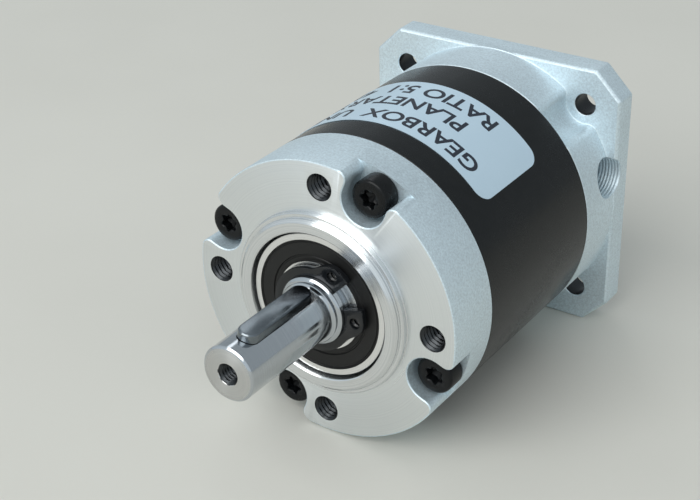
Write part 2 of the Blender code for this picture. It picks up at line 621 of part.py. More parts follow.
boolean(collar, "screw_seat", cutter("cut_collar_seat", along_x(HEAD_R + 0.1, 4.0, 12.0)))
boolean(collar, "screw_hole", cutter("cut_collar_screw", along_x(M3_R + 0.04, -6.6, 5.0)))
clamp_screw = socket_screw("clamp_screw", BLACK_OXIDE, HEAD_R, HEAD_H, M3_R - 0.02, 10.0, 1.35, 1.5)
clamp_screw.rotation_euler = (0, 0, math.radians(90))
clamp_screw.location = (4.04 * MM, to_y(ACCESS_S), ACCESS_Z * MM)

outline = external_clip(5.92, 1.6, 8.6, 18.0, 8.0, 200.0)
holes = [circle(*polar(7.6, 200.0 + side * 25.5), 0.6, 8) for side in (-1, 1)]
clip_node("input_hub_circlip", outline, holes, -32.46, -33.44)


def internal_clip(outer_r, band, lug_r, gap_half, lug_half, phase, n=18):
    """Outline of an internal retaining ring, whose two lugs point inwards."""
    start, end = gap_half, 360.0 - gap_half
    outer = arc(0, 0, outer_r, start, end, n)
    last = arc(0, 0, lug_r, end, end - lug_half * 1.5, 2)
    first = arc(0, 0, lug_r, start + lug_half * 1.5, start, 2)
    inner = []
    for k in range(n + 1):
        a = end - (end - start) * k / n
        if a > end - lug_half * 2 or a < start + lug_half * 2:
            continue
        inner.append(polar(outer_r - band, a))
    return [turned(x, z, phase) for x, z in outer + last + inner + first]


outline = internal_clip(12.4, 1.7, 9.6, 12.0, 6.0, 20.0)
holes = [circle(*polar(10.6, 20.0 + side * 17.0), 0.6, 8) for side in (-1, 1)]
clip_node("input_bearing_retaining_ring", outline, holes, -32.5, -33.5)
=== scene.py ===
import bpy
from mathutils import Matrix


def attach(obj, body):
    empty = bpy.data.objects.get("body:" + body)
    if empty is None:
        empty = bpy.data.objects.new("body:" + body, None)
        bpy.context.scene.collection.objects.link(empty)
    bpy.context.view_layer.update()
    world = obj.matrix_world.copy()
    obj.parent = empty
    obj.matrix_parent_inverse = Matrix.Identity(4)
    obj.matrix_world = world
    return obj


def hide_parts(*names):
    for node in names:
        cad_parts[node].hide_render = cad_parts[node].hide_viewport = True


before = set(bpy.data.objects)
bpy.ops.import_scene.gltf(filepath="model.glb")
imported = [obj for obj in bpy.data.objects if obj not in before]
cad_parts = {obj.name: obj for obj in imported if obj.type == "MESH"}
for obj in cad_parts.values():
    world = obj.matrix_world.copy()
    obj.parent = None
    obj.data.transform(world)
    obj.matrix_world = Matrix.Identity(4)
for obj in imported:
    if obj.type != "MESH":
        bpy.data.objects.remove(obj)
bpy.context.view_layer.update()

import math

import bmesh
import bpy
from mathutils import Matrix, Vector

MM = 0.001

# ------------------------------------------------------------ sizes, in mm, as in the CAD
SHAFT_OUT = 21.0
BODY_LENGTH = 50.8
MID = 14.9
BODY_R = 21.0
REAR_BODY_R = 21.1
SQUARE = 42.3
SQUARE_CHAMFER = 4.1
SQUARE_T = 4.3
FLANGE_T = 9.6
RING_END = 37.96
SPIGOT_R = 16.0
OUTPUT_HOLE_PCD_R = 17.5
SCREW_PCD_R = 18.2
SCREW_ANGLES = (68.0, -22.0, -112.0, 158.0)
NOTCH_R, NOTCH_FLOOR, NOTCH_FILLET = 3.4, 4.4, 1.3
HEAD_R, HEAD_H, M3_R = 2.75, 2.95, 1.5
MOTOR_HOLE_SPACING = 31.0
MOTOR_HOLE_R = 1.7
SCALLOP_R = 3.15
CAVITY_R = 11.0
ACCESS_R, ACCESS_Z, ACCESS_S = 3.05, 5.2, -45.2
SHAFT_R, JOURNAL_R, SHOULDER_R = 4.0, 5.0, 6.0
KEY_ANGLE, KEY_W, KEY_L, KEY_TOP, KEY_NEAR = 80.0, 3.0, 14.0, 5.2, 18.6
CIRCLIP_ANGLE = 33.0
MODULE = 0.6
PRESSURE = math.radians(20.0)
SUN_T, PLANET_T, RING_T = 12, 18, 48
CENTRES = 9.0
GEAR_ANGLE = 90.0
PLANET_ANGLES = [GEAR_ANGLE + 120.0 * i for i in range(3)]
PLANET_FRONT, PLANET_REAR = -16.9, -25.9
CARRIER_R = 13.4
POST_PCD_R, POST_R = 11.0, 2.1
LABEL_FROM, LABEL_TO, LABEL_FRONT, LABEL_REAR = 38.6, 141.4, -14.6, -30.3

scene = bpy.context.scene


# ------------------------------------------------------------ mesh helpers
def to_y(s):
    return (-s - MID) * MM


def polar(r, degrees):
    a = math.radians(degrees)
    return r * math.cos(a), r * math.sin(a)


def arc(cx, cz, r, a0, a1, n):
    return [
        (cx + r * math.cos(math.radians(a0 + (a1 - a0) * k / n)), cz + r * math.sin(math.radians(a0 + (a1 - a0) * k / n)))
        for k in range(n + 1)
    ]


def circle(cx, cz, r, n):
    return [(cx + r * math.cos(2 * math.pi * k / n), cz + r * math.sin(2 * math.pi * k / n)) for k in range(n)]


def turned(x, z, degrees):
    c, s = math.cos(math.radians(degrees)), math.sin(math.radians(degrees))
    return x * c - z * s, x * s + z * c


def softened(profile, sizes, steps=3):
    """A closed (s, r) profile with each corner rounded to the size given for it: one number, or {index: size}."""
    out = []
    n = len(profile)
    for i, (s, r) in enumerate(profile):
        size = sizes.get(i, 0.0) if isinstance(sizes, dict) else sizes
        if size <= 0 or r <= 1e-6:
            out.append((s, r))
            continue
        p, a, b = Vector((s, r)), Vector(profile[i - 1]), Vector(profile[(i + 1) % n])
        da, db = (a - p), (b - p)
        la, lb = da.length, db.length
        d = min(size, 0.45 * la, 0.45 * lb)
        if d < 1e-4:
            out.append((s, r))
            continue
        pa, pb = p + da / la * d, p + db / lb * d
        for k in range(steps + 1):
            t = k / steps
            q = pa * (1 - t) ** 2 + p * 2 * t * (1 - t) + pb * t * t
            out.append((q.x, q.y))
    return out


def add_turned(bm, profile, n, cx=0.0, cz=0.0):
    """Adds the body that a closed (s, r) profile sweeps round an axis parallel to Y through (cx, cz)."""
    rings = []
    for s, r in profile:
        if r < 1e-6:
            rings.append([bm.verts.new((cx * MM, to_y(s), cz * MM))])
        else:
            rings.append([bm.verts.new(((cx + r * math.cos(2 * math.pi * k / n)) * MM, to_y(s), (cz + r * math.sin(2 * math.pi * k / n)) * MM)) for k in range(n)])
    for i in range(len(rings)):
        a, b = rings[i], rings[(i + 1) % len(rings)]
        if len(a) == 1 and len(b) == 1:
            continue
        for k in range(n):
            k2 = (k + 1) % n
            if len(a) == 1:
                bm.faces.new((a[0], b[k2], b[k]))
            elif len(b) == 1:
                bm.faces.new((a[k], a[k2], b[0]))
            else:
                bm.faces.new((a[k], a[k2], b[k2], b[k]))


def add_loft(bm, rings):
    """Adds the closed body through rings of (x, s, z) points, all with the same number of points."""
    made = [[bm.verts.new((x * MM, to_y(s), z * MM)) for x, s, z in ring] for ring in rings]
    for a, b in zip(made, made[1:]):
        for k in range(len(a)):
            k2 = (k + 1) % len(a)
            bm.faces.new((a[k], a[k2], b[k2], b[k]))
    bm.faces.new(made[0])
    bm.faces.new(made[-1])


def at(s, loop):
    return [(x, s, z) for x, z in loop]


def add_plate(bm, loops, s0, s1):
    """Adds a plate between stations s0 and s1. The first loop is its outline and the others are its holes."""
    edges = []
    for loop in loops:
        ring = [bm.verts.new((x * MM, to_y(s0), z * MM)) for x, z in loop]
        edges += [bm.edges.new((ring[i], ring[(i + 1) % len(ring)])) for i in range(len(ring))]
    filled = bmesh.ops.triangle_fill(bm, use_beauty=True, use_dissolve=False, edges=edges)
    faces = [g for g in filled["geom"] if isinstance(g, bmesh.types.BMFace)]
    grown = bmesh.ops.extrude_face_region(bm, geom=faces)
    moved = [g for g in grown["geom"] if isinstance(g, bmesh.types.BMVert)]
    bmesh.ops.translate(bm, verts=moved, vec=(0, to_y(s1) - to_y(s0), 0))


def add_thread(bm, core, major, pitch, top, bottom, mouth=0.0, n=36, per=8, lead_in=0.4):
    """Adds a threaded hole's cutter round the Y axis, from above station top down to bottom. mouth is its countersink's radius at top."""
    count = max(3, int(round((top - bottom) / pitch * per)))
    stations = [top + lead_in] + [top - (top - bottom) * k / count for k in range(count + 1)]
    rings = []
    for i, s in enumerate(stations):
        ring = []
        for k in range(n):
            turn = (k / n + (top - s) / pitch) % 1.0
            v = abs(turn * 2 - 1)
            v = min(max((v - 0.12) / 0.76, 0.0), 1.0)
            r = core + (major - core) * v
            if s > top - 1e-6:
                r = mouth + (s - top) if mouth else major
            elif mouth:
                r = max(r, mouth - (top - s))
            if i == len(stations) - 1:
                r = core * 0.98
            a = 2 * math.pi * k / n
            ring.append((r * math.cos(a), s, r * math.sin(a)))
        rings.append(ring)
    made = [[bm.verts.new((x * MM, to_y(s), z * MM)) for x, s, z in ring] for ring in rings]
    for a, b in zip(made, made[1:]):
        for k in range(n):
            k2 = (k + 1) % n
            bm.faces.new((a[k], a[k2], b[k2], b[k]))
    for ring, s in ((made[0], stations[0]), (made[-1], stations[-1] - core * 0.55)):
        tip = bm.verts.new((0, to_y(s), 0))
        for k in range(n):
            bm.faces.new((ring[k], ring[(k + 1) % n], tip))
    return [v for ring in made for v in ring]


def moved(bm, make_it, matrix):
    """Runs make_it(bm) and moves what it adds by matrix."""
    before = set(bm.verts)
    make_it(bm)
    bmesh.ops.transform(bm, matrix=matrix, verts=[v for v in bm.verts if v not in before])


def finish_mesh(name, bm, smooth=30.0):
    bmesh.ops.recalc_face_normals(bm, faces=bm.faces)
    mesh = bpy.data.meshes.new(name)
    bm.to_mesh(mesh)
    bm.free()
    mesh.shade_smooth()
    mesh.set_sharp_from_angle(angle=math.radians(smooth))
    obj = bpy.data.objects.new(name, mesh)
    scene.collection.objects.link(obj)
    return obj


def apply_modifiers(obj, smooth=30.0):
    bpy.context.view_layer.update()
    graph = bpy.context.evaluated_depsgraph_get()
    mesh = bpy.data.meshes.new_from_object(obj.evaluated_get(graph))
    old = obj.data
    obj.modifiers.clear()
    obj.data = mesh
    bpy.data.meshes.remove(old)
    mesh.name = obj.name
    mesh.shade_smooth()
    mesh.set_sharp_from_angle(angle=math.radians(smooth))
    return obj


def cut(obj, *tools, operation="DIFFERENCE", smooth=30.0):
    """Cuts each bmesh tool from obj, or joins it on, and keeps only the result."""
    helpers = []
    for i, bm in enumerate(tools):
        tool = finish_mesh(f"tool_{i}", bm)
        helpers.append(tool)
        m = obj.modifiers.new(f"b{i}", "BOOLEAN")
        m.operation = operation
        m.object = tool
        m.solver = "EXACT"
    apply_modifiers(obj, smooth)
    for tool in helpers:
        mesh = tool.data
        bpy.data.objects.remove(tool, do_unlink=True)
        bpy.data.meshes.remove(mesh)
    tidy = bmesh.new()
    tidy.from_mesh(obj.data)
    bmesh.ops.remove_doubles(tidy, verts=tidy.verts, dist=2e-7)
    bmesh.ops.dissolve_degenerate(tidy, dist=1e-7, edges=tidy.edges)
    tidy.to_mesh(obj.data)
    tidy.free()
    obj.data.set_sharp_from_angle(angle=math.radians(smooth))
    return obj


def bevelled(obj, width, angle=40.0, segments=2, smooth=30.0):
    m = obj.modifiers.new("edges", "BEVEL")
    m.width = width * MM
    m.segments = segments
    m.limit_method = "ANGLE"
    m.angle_limit = math.radians(angle)
    m.use_clamp_overlap = True
    return apply_modifiers(obj, smooth)


def turned_piece(name, profile, n=128, cx=0.0, cz=0.0, smooth=30.0):
    bm = bmesh.new()
    add_turned(bm, profile, n, cx, cz)
    return finish_mesh(name, bm, smooth)


# ------------------------------------------------------------ materials, all from nodes
def nodes_of(name):
    m = bpy.data.materials.new(name)
    m.use_nodes = True
    t = m.node_tree
    shader = t.nodes["Principled BSDF"]
    coords = t.nodes.new("ShaderNodeTexCoord").outputs["Object"]
    return m, t, shader, coords


def math_node(t, op, a, b=None):
    n = t.nodes.new("ShaderNodeMath")
    n.operation = op
    for i, v in enumerate((a, b)):
        if v is None:
            continue
        if isinstance(v, (int, float)):
            n.inputs[i].default_value = v
        else:
            t.links.new(v, n.inputs[i])
    return n.outputs[0]


def noise(t, vector, scale, detail=3.0, rough=0.55, dim="3D", w=None):
    n = t.nodes.new("ShaderNodeTexNoise")
    n.noise_dimensions = dim
    n.inputs["Scale"].default_value = scale
    n.inputs["Detail"].default_value = detail
    n.inputs["Roughness"].default_value = rough
    if vector is not None:
        t.links.new(vector, n.inputs["Vector"])
    if w is not None:
        t.links.new(w, n.inputs["W"])
    return n.outputs["Fac"]


def spread(t, value, low, high, from_low=0.3, from_high=0.7):
    n = t.nodes.new("ShaderNodeMapRange")
    t.links.new(value, n.inputs["Value"])
    n.inputs["From Min"].default_value = from_low
    n.inputs["From Max"].default_value = from_high
    n.inputs["To Min"].default_value = low
    n.inputs["To Max"].default_value = high
    return n.outputs["Result"]


def mixed(t, factor, a, b):
    n = t.nodes.new("ShaderNodeMix")
    n.data_type = "RGBA"
    if isinstance(factor, float):
        n.inputs["Factor"].default_value = factor
    else:
        t.links.new(factor, n.inputs["Factor"])
    for key, v in (("A", a), ("B", b)):
        socket = [s for s in n.inputs if s.name == key and s.type == "RGBA"][0]
        if isinstance(v, tuple):
            socket.default_value = (*v, 1.0)
        else:
            t.links.new(v, socket)
    return [s for s in n.outputs if s.type == "RGBA"][0]


def bump(t, shader, height, strength, distance):
    n = t.nodes.new("ShaderNodeBump")
    n.inputs["Strength"].default_value = strength
    n.inputs["Distance"].default_value = distance
    t.links.new(height, n.inputs["Height"])
    t.links.new(n.outputs["Normal"], shader.inputs["Normal"])


def axis_parts(t, coords):
    """(distance from the shaft axis, place along it), in millimetres."""
    sep = t.nodes.new("ShaderNodeSeparateXYZ")
    t.links.new(coords, sep.inputs[0])
    flat = t.nodes.new("ShaderNodeCombineXYZ")
    t.links.new(sep.outputs["X"], flat.inputs["X"])
    t.links.new(sep.outputs["Z"], flat.inputs["Z"])
    length = t.nodes.new("ShaderNodeVectorMath")
    length.operation = "LENGTH"
    t.links.new(flat.outputs[0], length.inputs[0])
    return math_node(t, "MULTIPLY", length.outputs["Value"], 1000.0), math_node(t, "MULTIPLY", sep.outputs["Y"], 1000.0)


def tangent_round(t, shader, amount, rotation=0.0):
    """Highlights that run across the turning marks, round the shaft axis."""
    n = t.nodes.new("ShaderNodeTangent")
    n.direction_type = "RADIAL"
    n.axis = "Y"
    t.links.new(n.outputs["Tangent"], shader.inputs["Tangent"])
    shader.inputs["Anisotropic"].default_value = amount
    shader.inputs["Anisotropic Rotation"].default_value = rotation


def turned_metal(name, light, dark, rough, low=-0.05, high=0.06, marks=6.0, strength=0.18, aniso=0.55, rotation=0.25, along=False):
    """Metal off the lathe: fine grooves round the axis, in the radius for a face and along the axis for a cylinder."""
    m, t, s, coords = nodes_of(name)
    r, y = axis_parts(t, coords)
    place = math_node(t, "ADD", r, y) if not along else math_node(t, "ADD", y, math_node(t, "MULTIPLY", r, 0.7))
    fine = noise(t, None, marks, 2.0, 0.6, "1D", w=place)
    broad = noise(t, None, marks * 0.2, 2.0, 0.5, "1D", w=place)
    cloud = noise(t, coords, 60.0, 2.0, 0.5)
    t.links.new(mixed(t, spread(t, fine, 0.0, 1.0), dark, light), s.inputs["Base Color"])
    rr = math_node(t, "ADD", spread(t, cloud, rough + low, rough + high), spread(t, broad, -0.03, 0.03))
    t.links.new(rr, s.inputs["Roughness"])
    s.inputs["Metallic"].default_value = 1.0
    bump(t, s, fine, strength, 0.00002)
    tangent_round(t, s, aniso, rotation)
    return m


def blasted_metal(name, light, dark, rough, grain=4200.0, strength=0.35):
    m, t, s, coords = nodes_of(name)
    fine = noise(t, coords, grain, 2.5, 0.65)
    mid = noise(t, coords, 900.0, 2.0, 0.5)
    cloud = noise(t, coords, 90.0, 3.0, 0.55)
    colour = mixed(t, spread(t, cloud, 0.0, 1.0), dark, light)
    speck = spread(t, fine, 0.86, 1.12, 0.28, 0.72)
    tint = t.nodes.new("ShaderNodeVectorMath")
    tint.operation = "SCALE"
    t.links.new(colour, tint.inputs[0])
    t.links.new(speck, tint.inputs["Scale"])
    t.links.new(tint.outputs[0], s.inputs["Base Color"])
    t.links.new(math_node(t, "ADD", spread(t, mid, rough - 0.04, rough + 0.04), spread(t, cloud, -0.02, 0.02)), s.inputs["Roughness"])
    s.inputs["Metallic"].default_value = 1.0
    bump(t, s, math_node(t, "ADD", fine, math_node(t, "MULTIPLY", mid, 0.6)), strength, 0.00003)
    return m


def key_metal(name, rough):
    """Blued steel, blended to a pale grey towards the shaft's end and kept dark towards the far end: painted shade
    along the key.
    """
    m, t, s, coords = nodes_of(name)
    fine = noise(t, coords, 1500.0, 2.0, 0.6)
    cloud = noise(t, coords, 420.0, 3.0, 0.6)
    _, y = axis_parts(t, coords)
    near = spread(t, y, 1.0, 0.0, -(MID + KEY_NEAR), -(MID + KEY_NEAR - KEY_L) - 1.0)
    # painted shade: the key is lighter towards the shaft's end and darker towards its far end
    painted_shade_ramp = math_node(t, "MULTIPLY", near, spread(t, cloud, 0.75, 1.1))
    dark = mixed(t, spread(t, fine, 0.0, 1.0), (0.020, 0.026, 0.034), (0.040, 0.048, 0.060))
    t.links.new(mixed(t, painted_shade_ramp, dark, (0.22, 0.245, 0.265)), s.inputs["Base Color"])
    t.links.new(spread(t, cloud, rough - 0.04, rough + 0.06), s.inputs["Roughness"])
    s.inputs["Metallic"].default_value = 1.0
    bump(t, s, fine, 0.05, 0.00002)
    return m


def edge_mask(t, low=0.52, high=0.62):
    g = t.nodes.new("ShaderNodeNewGeometry")
    return spread(t, g.outputs["Pointiness"], 0.0, 1.0, low, high)


def coated_black(name, base, light, rough, grain=3000.0, strength=0.2, metallic=0.0, specular=0.5, coat=0.0, wear=0.0):
    m, t, s, coords = nodes_of(name)
    fine = noise(t, coords, grain, 2.5, 0.6)
    cloud = noise(t, coords, 110.0, 3.0, 0.6)
    colour = mixed(t, spread(t, math_node(t, "ADD", math_node(t, "MULTIPLY", fine, 0.5), math_node(t, "MULTIPLY", cloud, 0.5)), 0.0, 1.0), base, light)
    if wear:
        colour = mixed(t, math_node(t, "MULTIPLY", math_node(t, "MULTIPLY", edge_mask(t), spread(t, noise(t, coords, 700.0, 2.0), 0.2, 1.0)), wear), colour, (0.22, 0.22, 0.23))
    t.links.new(colour, s.inputs["Base Color"])
    t.links.new(math_node(t, "ADD", spread(t, cloud, rough - 0.05, rough + 0.05), spread(t, fine, -0.04, 0.04)), s.inputs["Roughness"])
    s.inputs["Metallic"].default_value = metallic
    s.inputs["Specular IOR Level"].default_value = specular
    s.inputs["Coat Weight"].default_value = coat
    s.inputs["Coat Roughness"].default_value = 0.12
    bump(t, s, fine, strength, 0.00002)
    return m


FACE_TURN = 0.25  # the way the long reflections lie against the turning marks
MACHINED = turned_metal("machined_aluminium_face", (0.80, 0.83, 0.84), (0.755, 0.785, 0.80), 0.31, low=-0.01, high=0.015, marks=5.0, strength=0.012, aniso=0.80, rotation=FACE_TURN)
BOSS = turned_metal("turned_boss", (0.78, 0.795, 0.80), (0.64, 0.66, 0.675), 0.23, low=-0.02, high=0.03, marks=5.0, strength=0.03, aniso=0.75, rotation=FACE_TURN)
# painted shade: a near-black colour that stands in for the shade inside holes, threads and the keyway
RECESS_SHADE = blasted_metal("painted_recess_shade", (0.062, 0.066, 0.070), (0.034, 0.037, 0.040), 0.32, strength=0.10)
BLASTED = blasted_metal("blasted_aluminium_skin", (0.72, 0.81, 0.855), (0.69, 0.78, 0.825), 0.62, grain=3300.0, strength=0.32)
HOUSING = coated_black("black_anodised_housing", (0.003, 0.004, 0.0045), (0.0052, 0.0064, 0.007), 0.24, grain=3600.0, strength=0.08, specular=0.25, wear=0.03)
SHAFT = turned_metal("ground_shaft_steel", (0.53, 0.555, 0.58), (0.44, 0.47, 0.50), 0.11, low=-0.015, high=0.02, marks=6.0, strength=0.02, aniso=0.30, rotation=FACE_TURN, along=True)
SHAFT_END = turned_metal("faced_shaft_end", (0.62, 0.62, 0.61), (0.54, 0.545, 0.545), 0.30, low=-0.02, high=0.03, marks=7.0, strength=0.03, aniso=0.85, rotation=FACE_TURN)
GEAR = turned_metal("hobbed_gear_steel", (0.50, 0.50, 0.52), (0.36, 0.36, 0.38), 0.33, marks=4.0, strength=0.12, aniso=0.2)
OXIDE = coated_black("black_oxide_screws", (0.0028, 0.0033, 0.0038), (0.0055, 0.0062, 0.007), 0.30, grain=2400.0, strength=0.10, metallic=0.0, specular=0.22, wear=0.04)
CLIP = coated_black("spring_steel_black", (0.004, 0.005, 0.006), (0.008, 0.009, 0.011), 0.20, grain=1800.0, strength=0.05, metallic=0.0, specular=0.42, coat=0.0, wear=0.05)
KEY = key_metal("key_steel_blued", 0.22)
RACE = turned_metal("bearing_race_steel", (0.86, 0.86, 0.85), (0.74, 0.74, 0.74), 0.20, low=-0.03, high=0.04, marks=10.0, strength=0.08, aniso=0.5)
RUBBER = coated_black("nitrile_seal", (0.005, 0.005, 0.005), (0.009, 0.009, 0.009), 0.42, grain=2600.0, strength=0.15, specular=0.32)
BRONZE = turned_metal("sintered_bronze", (0.62, 0.44, 0.24), (0.48, 0.32, 0.16), 0.38, marks=3.0, strength=0.15, aniso=0.2)


def label_material():
    m, t, s, coords = nodes_of("silver_label_film")
    fine = noise(t, coords, 5200.0, 2.0, 0.6)
    cloud = noise(t, coords, 120.0, 2.0, 0.5)
    t.links.new(mixed(t, spread(t, math_node(t, "ADD", math_node(t, "MULTIPLY", fine, 0.5), math_node(t, "MULTIPLY", cloud, 0.5)), 0.0, 1.0), (0.57, 0.72, 0.83), (0.61, 0.76, 0.87)), s.inputs["Base Color"])
    t.links.new(spread(t, fine, 0.34, 0.46), s.inputs["Roughness"])
    s.inputs["Metallic"].default_value = 0.35
    s.inputs["Coat Weight"].default_value = 0.25
    s.inputs["Coat Roughness"].default_value = 0.25
    bump(t, s, fine, 0.12, 0.00001)
    return m


def ink_material():
    m, t, s, coords = nodes_of("printed_ink")
    fine = noise(t, coords, 6000.0, 2.0, 0.6)
    t.links.new(mixed(t, spread(t, fine, 0.0, 1.0), (0.008, 0.012, 0.022), (0.018, 0.024, 0.040)), s.inputs["Base Color"])
    t.links.new(spread(t, fine, 0.40, 0.52), s.inputs["Roughness"])
    return m


LABEL = label_material()
INK = ink_material()


def paint(obj, *materials):
    obj.data.materials.clear()
    for m in materials:
        obj.data.materials.append(m)


def place(obj, body, slot, *nodes):
    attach(obj, body)
    if nodes:
        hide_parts(*nodes)
    return obj


# ------------------------------------------------------------ output flange
flange_profile = [
    (0.0, 13.72), (0.12, 13.62), (0.78, 13.62), (0.9, 13.5), (0.9, 13.02), (0.98, 12.95), (1.28, 12.95), (1.36, 12.87),
    (1.66, 12.56), (1.7, 12.5), (1.7, 11.22), (1.58, 11.06),
    (-5.1, 11.06), (-5.1, 9.4), (-6.9, 9.4), (-6.9, 12.02), (-13.4, 12.02), (-13.4, SPIGOT_R - 0.3), (-13.1, SPIGOT_R),
    (-12.5, SPIGOT_R), (-12.5, 15.2), (-11.2, 15.2), (-11.2, SPIGOT_R), (-FLANGE_T, SPIGOT_R), (-FLANGE_T, BODY_R - 0.06),
    (-FLANGE_T + 0.06, BODY_R), (-0.2, BODY_R), (-0.06, BODY_R - 0.06), (0.0, BODY_R - 0.2),
]
flange = turned_piece("output_flange_body", flange_profile, 256)


def notch_outline(degrees, d=0.0, n=28):
    """Screw pocket's outline, open to the outside of the flange, d wider than the pocket all round."""
    c = math.sqrt((BODY_R - NOTCH_FILLET) ** 2 - (NOTCH_R + NOTCH_FILLET) ** 2)
    lead = math.degrees(math.atan2(NOTCH_R + NOTCH_FILLET, c))
    f = max(NOTCH_FILLET - d, 0.05)
    right = arc(c, -(NOTCH_R + NOTCH_FILLET), f, -lead, 90, 10)
    out = [(BODY_R + 3, right[0][1] - 0.02)] + right + arc(SCREW_PCD_R, 0, NOTCH_R + d, 270, 90, n)
    out += [(x, -z) for x, z in reversed(right)] + [(BODY_R + 3, -right[0][1] + 0.02)]
    return [turned(x, z, degrees) for x, z in out]


bm = bmesh.new()
for angle in SCREW_ANGLES:
    add_loft(bm, [at(1.0, notch_outline(angle, 0.16)), at(0.0, notch_outline(angle, 0.16)), at(-0.14, notch_outline(angle)), at(-NOTCH_FLOOR, notch_outline(angle))])
pockets = bm
bm = bmesh.new()
for k in range(4):
    x, z = polar(OUTPUT_HOLE_PCD_R, 90.0 * k)
    moved(bm, lambda b: add_thread(b, 1.66, 1.98, 0.7, 0.0, -8.0, mouth=1.98), Matrix.Translation((x * MM, 0, z * MM)) @ Matrix.Rotation(math.radians(40 * k), 4, "Y"))
for angle in SCREW_ANGLES:
    x, z = polar(SCREW_PCD_R, angle)
    add_turned(bm, [(-NOTCH_FLOOR + 1.0, 0.0), (-NOTCH_FLOOR + 1.0, 1.6), (-FLANGE_T - 1.0, 1.6), (-FLANGE_T - 1.0, 0.0)], 32, x, z)
cut(flange, pockets, bm)
paint(flange, MACHINED, BLASTED, BOSS, RECESS_SHADE)
for p in flange.data.polygons:
    c = p.center
    r, s = math.hypot(c.x, c.z) / MM, -c.y / MM - MID
    hole = min(math.hypot(c.x / MM - polar(OUTPUT_HOLE_PCD_R, 90.0 * k)[0], c.z / MM - polar(OUTPUT_HOLE_PCD_R, 90.0 * k)[1]) for k in range(4))
    # the threaded holes' walls take the near-black material, painted shade in the holes
    if hole < 2.05 and s < -0.02 and r > 14:
        p.material_index = 3
    elif r < 13.8 and s > -6.0:
        p.material_index = 2
    elif s > -0.02 and r < BODY_R - 0.1:
        p.material_index = 0
    elif s > -NOTCH_FLOOR - 0.1 and r > 14 and abs(p.normal.y) < 0.9 or r > BODY_R - 0.3 or r > 14.4 and -NOTCH_FLOOR - 0.05 < s < -0.05:
        p.material_index = 1
    else:
        p.material_index = 0
place(flange, "housing", "machined_aluminium", "output_flange")


# ------------------------------------------------------------ gear outlines
def gear_outline(teeth, addendum, dedendum, thinning, flank=5, phase=0.0):
    """Involute spur gear outline, with a tooth centred on phase degrees."""
    pitch = MODULE * teeth / 2
    base = pitch * math.cos(PRESSURE)
    tip, root = pitch + addendum, pitch - dedendum
    half = (math.pi * MODULE / 2 - thinning) / (2 * pitch)
    involute = math.tan(PRESSURE) - PRESSURE

    def half_angle(r):
        if r <= base:
            return half + involute
        a = math.acos(base / r)
        return half + involute - (math.tan(a) - a)

    low = max(root, base)
    radii = ([root, root + 0.4 * (low - root)] if low > root + 0.02 else []) + [low + (tip - low) * k / (flank - 1) for k in range(flank)]
    points = []
    for tooth in range(teeth):
        centre = math.radians(phase) + 2 * math.pi * tooth / teeth
        left = [(r, centre - half_angle(r)) for r in radii]
        right = [(r, centre + half_angle(r)) for r in reversed(radii)]
        tip_mid = [(tip, centre)]
        space = [(root, centre + math.pi / teeth)]
        points += [(r * math.cos(a), r * math.sin(a)) for r, a in left + tip_mid + right + space]
    return points


def shifted(points, cx, cz):
    return [(x + cx, z + cz) for x, z in points]


# ------------------------------------------------------------ black ring gear housing
front, rear = -FLANGE_T - 0.02, -RING_END + 0.02
RING_TIP = MODULE * RING_T / 2 - 0.8 * MODULE
ring_profile = [
    (front, BODY_R - 0.08), (front, SPIGOT_R + 0.06), (-14.2, SPIGOT_R + 0.06), (-14.2, 15.5), (-16.2, 15.5), (-16.2, RING_TIP),
    (-26.6, RING_TIP), (-26.6, 15.5), (-31.3, 15.5), (-31.3, SPIGOT_R + 0.06), (rear, SPIGOT_R + 0.06), (rear, BODY_R - 0.08),
    (rear + 0.08, BODY_R), (front - 0.08, BODY_R),
]
housing = turned_piece("ring_gear_housing", ring_profile, 256)
bm = bmesh.new()
add_plate(bm, [gear_outline(RING_T, 1.2 * MODULE, 0.9 * MODULE, -0.06, phase=GEAR_ANGLE)], -15.8, -27.0)
teeth = bm
bm = bmesh.new()
for angle in SCREW_ANGLES:
    x, z = polar(SCREW_PCD_R, angle)
    add_turned(bm, [(front + 1.0, 0.0), (front + 1.0, 1.54), (-15.6, 1.54), (-16.0, 0.0)], 24, x, z)
    add_turned(bm, [(-31.8, 0.0), (-32.2, 1.54), (rear - 1.0, 1.54), (rear - 1.0, 0.0)], 24, x, z)
cut(housing, teeth, bm)
paint(housing, HOUSING, GEAR)
for p in housing.data.polygons:
    if math.hypot(p.center.x, p.center.z) / MM < 16.3 or (math.hypot(p.center.x, p.center.z) / MM < 20.5 and rear + 0.3 < -p.center.y / MM - MID < front - 0.3):
        p.material_index = 1
place(housing, "housing", "black_housing", "ring_gear")

# ------------------------------------------------------------ motor flange
S_PLATE = -(BODY_LENGTH - SQUARE_T)
CORNER_FILLET = 1.6


def body_outline(d=0.0):
    """Round body with a scallop at each corner hole and a soft corner on each side of it, grown outwards by d."""
    h = math.hypot(MOTOR_HOLE_SPACING / 2, MOTOR_HOLE_SPACING / 2)
    a, b = REAR_BODY_R - CORNER_FILLET, SCALLOP_R + CORNER_FILLET
    at_o = math.degrees(math.acos((a * a + h * h - b * b) / (2 * a * h)))
    at_h = math.degrees(math.acos((b * b + h * h - a * a) / (2 * b * h)))
    out = []
    for k in range(4):
        middle = 45.0 + 90.0 * k
        side = []
        cx, cz = polar(a, -at_o)
        # the corner after the round part, then the scallop, in the frame where the hole lies on +X
        side += arc(cx, cz, CORNER_FILLET + d, -at_o, 180.0 - at_h - 0.0, 12) if False else []
        convex_end = math.degrees(math.atan2(0 - cz, h - cx))
        side += arc(cx, cz, CORNER_FILLET + d, -at_o, convex_end, 10)
        start = math.degrees(math.atan2(cz, cx - h))
        side += arc(h, 0, SCALLOP_R - d, start % 360.0, 360.0 - (start % 360.0), 24)[1:-1]
        side += [(x, -z) for x, z in reversed(side[:11])]
        out += [turned(x, z, middle) for x, z in side]
        run = 90.0 - 2 * at_o
        out += [polar(REAR_BODY_R + d, middle + at_o + run * j / 24) for j in range(1, 24)]
    return out


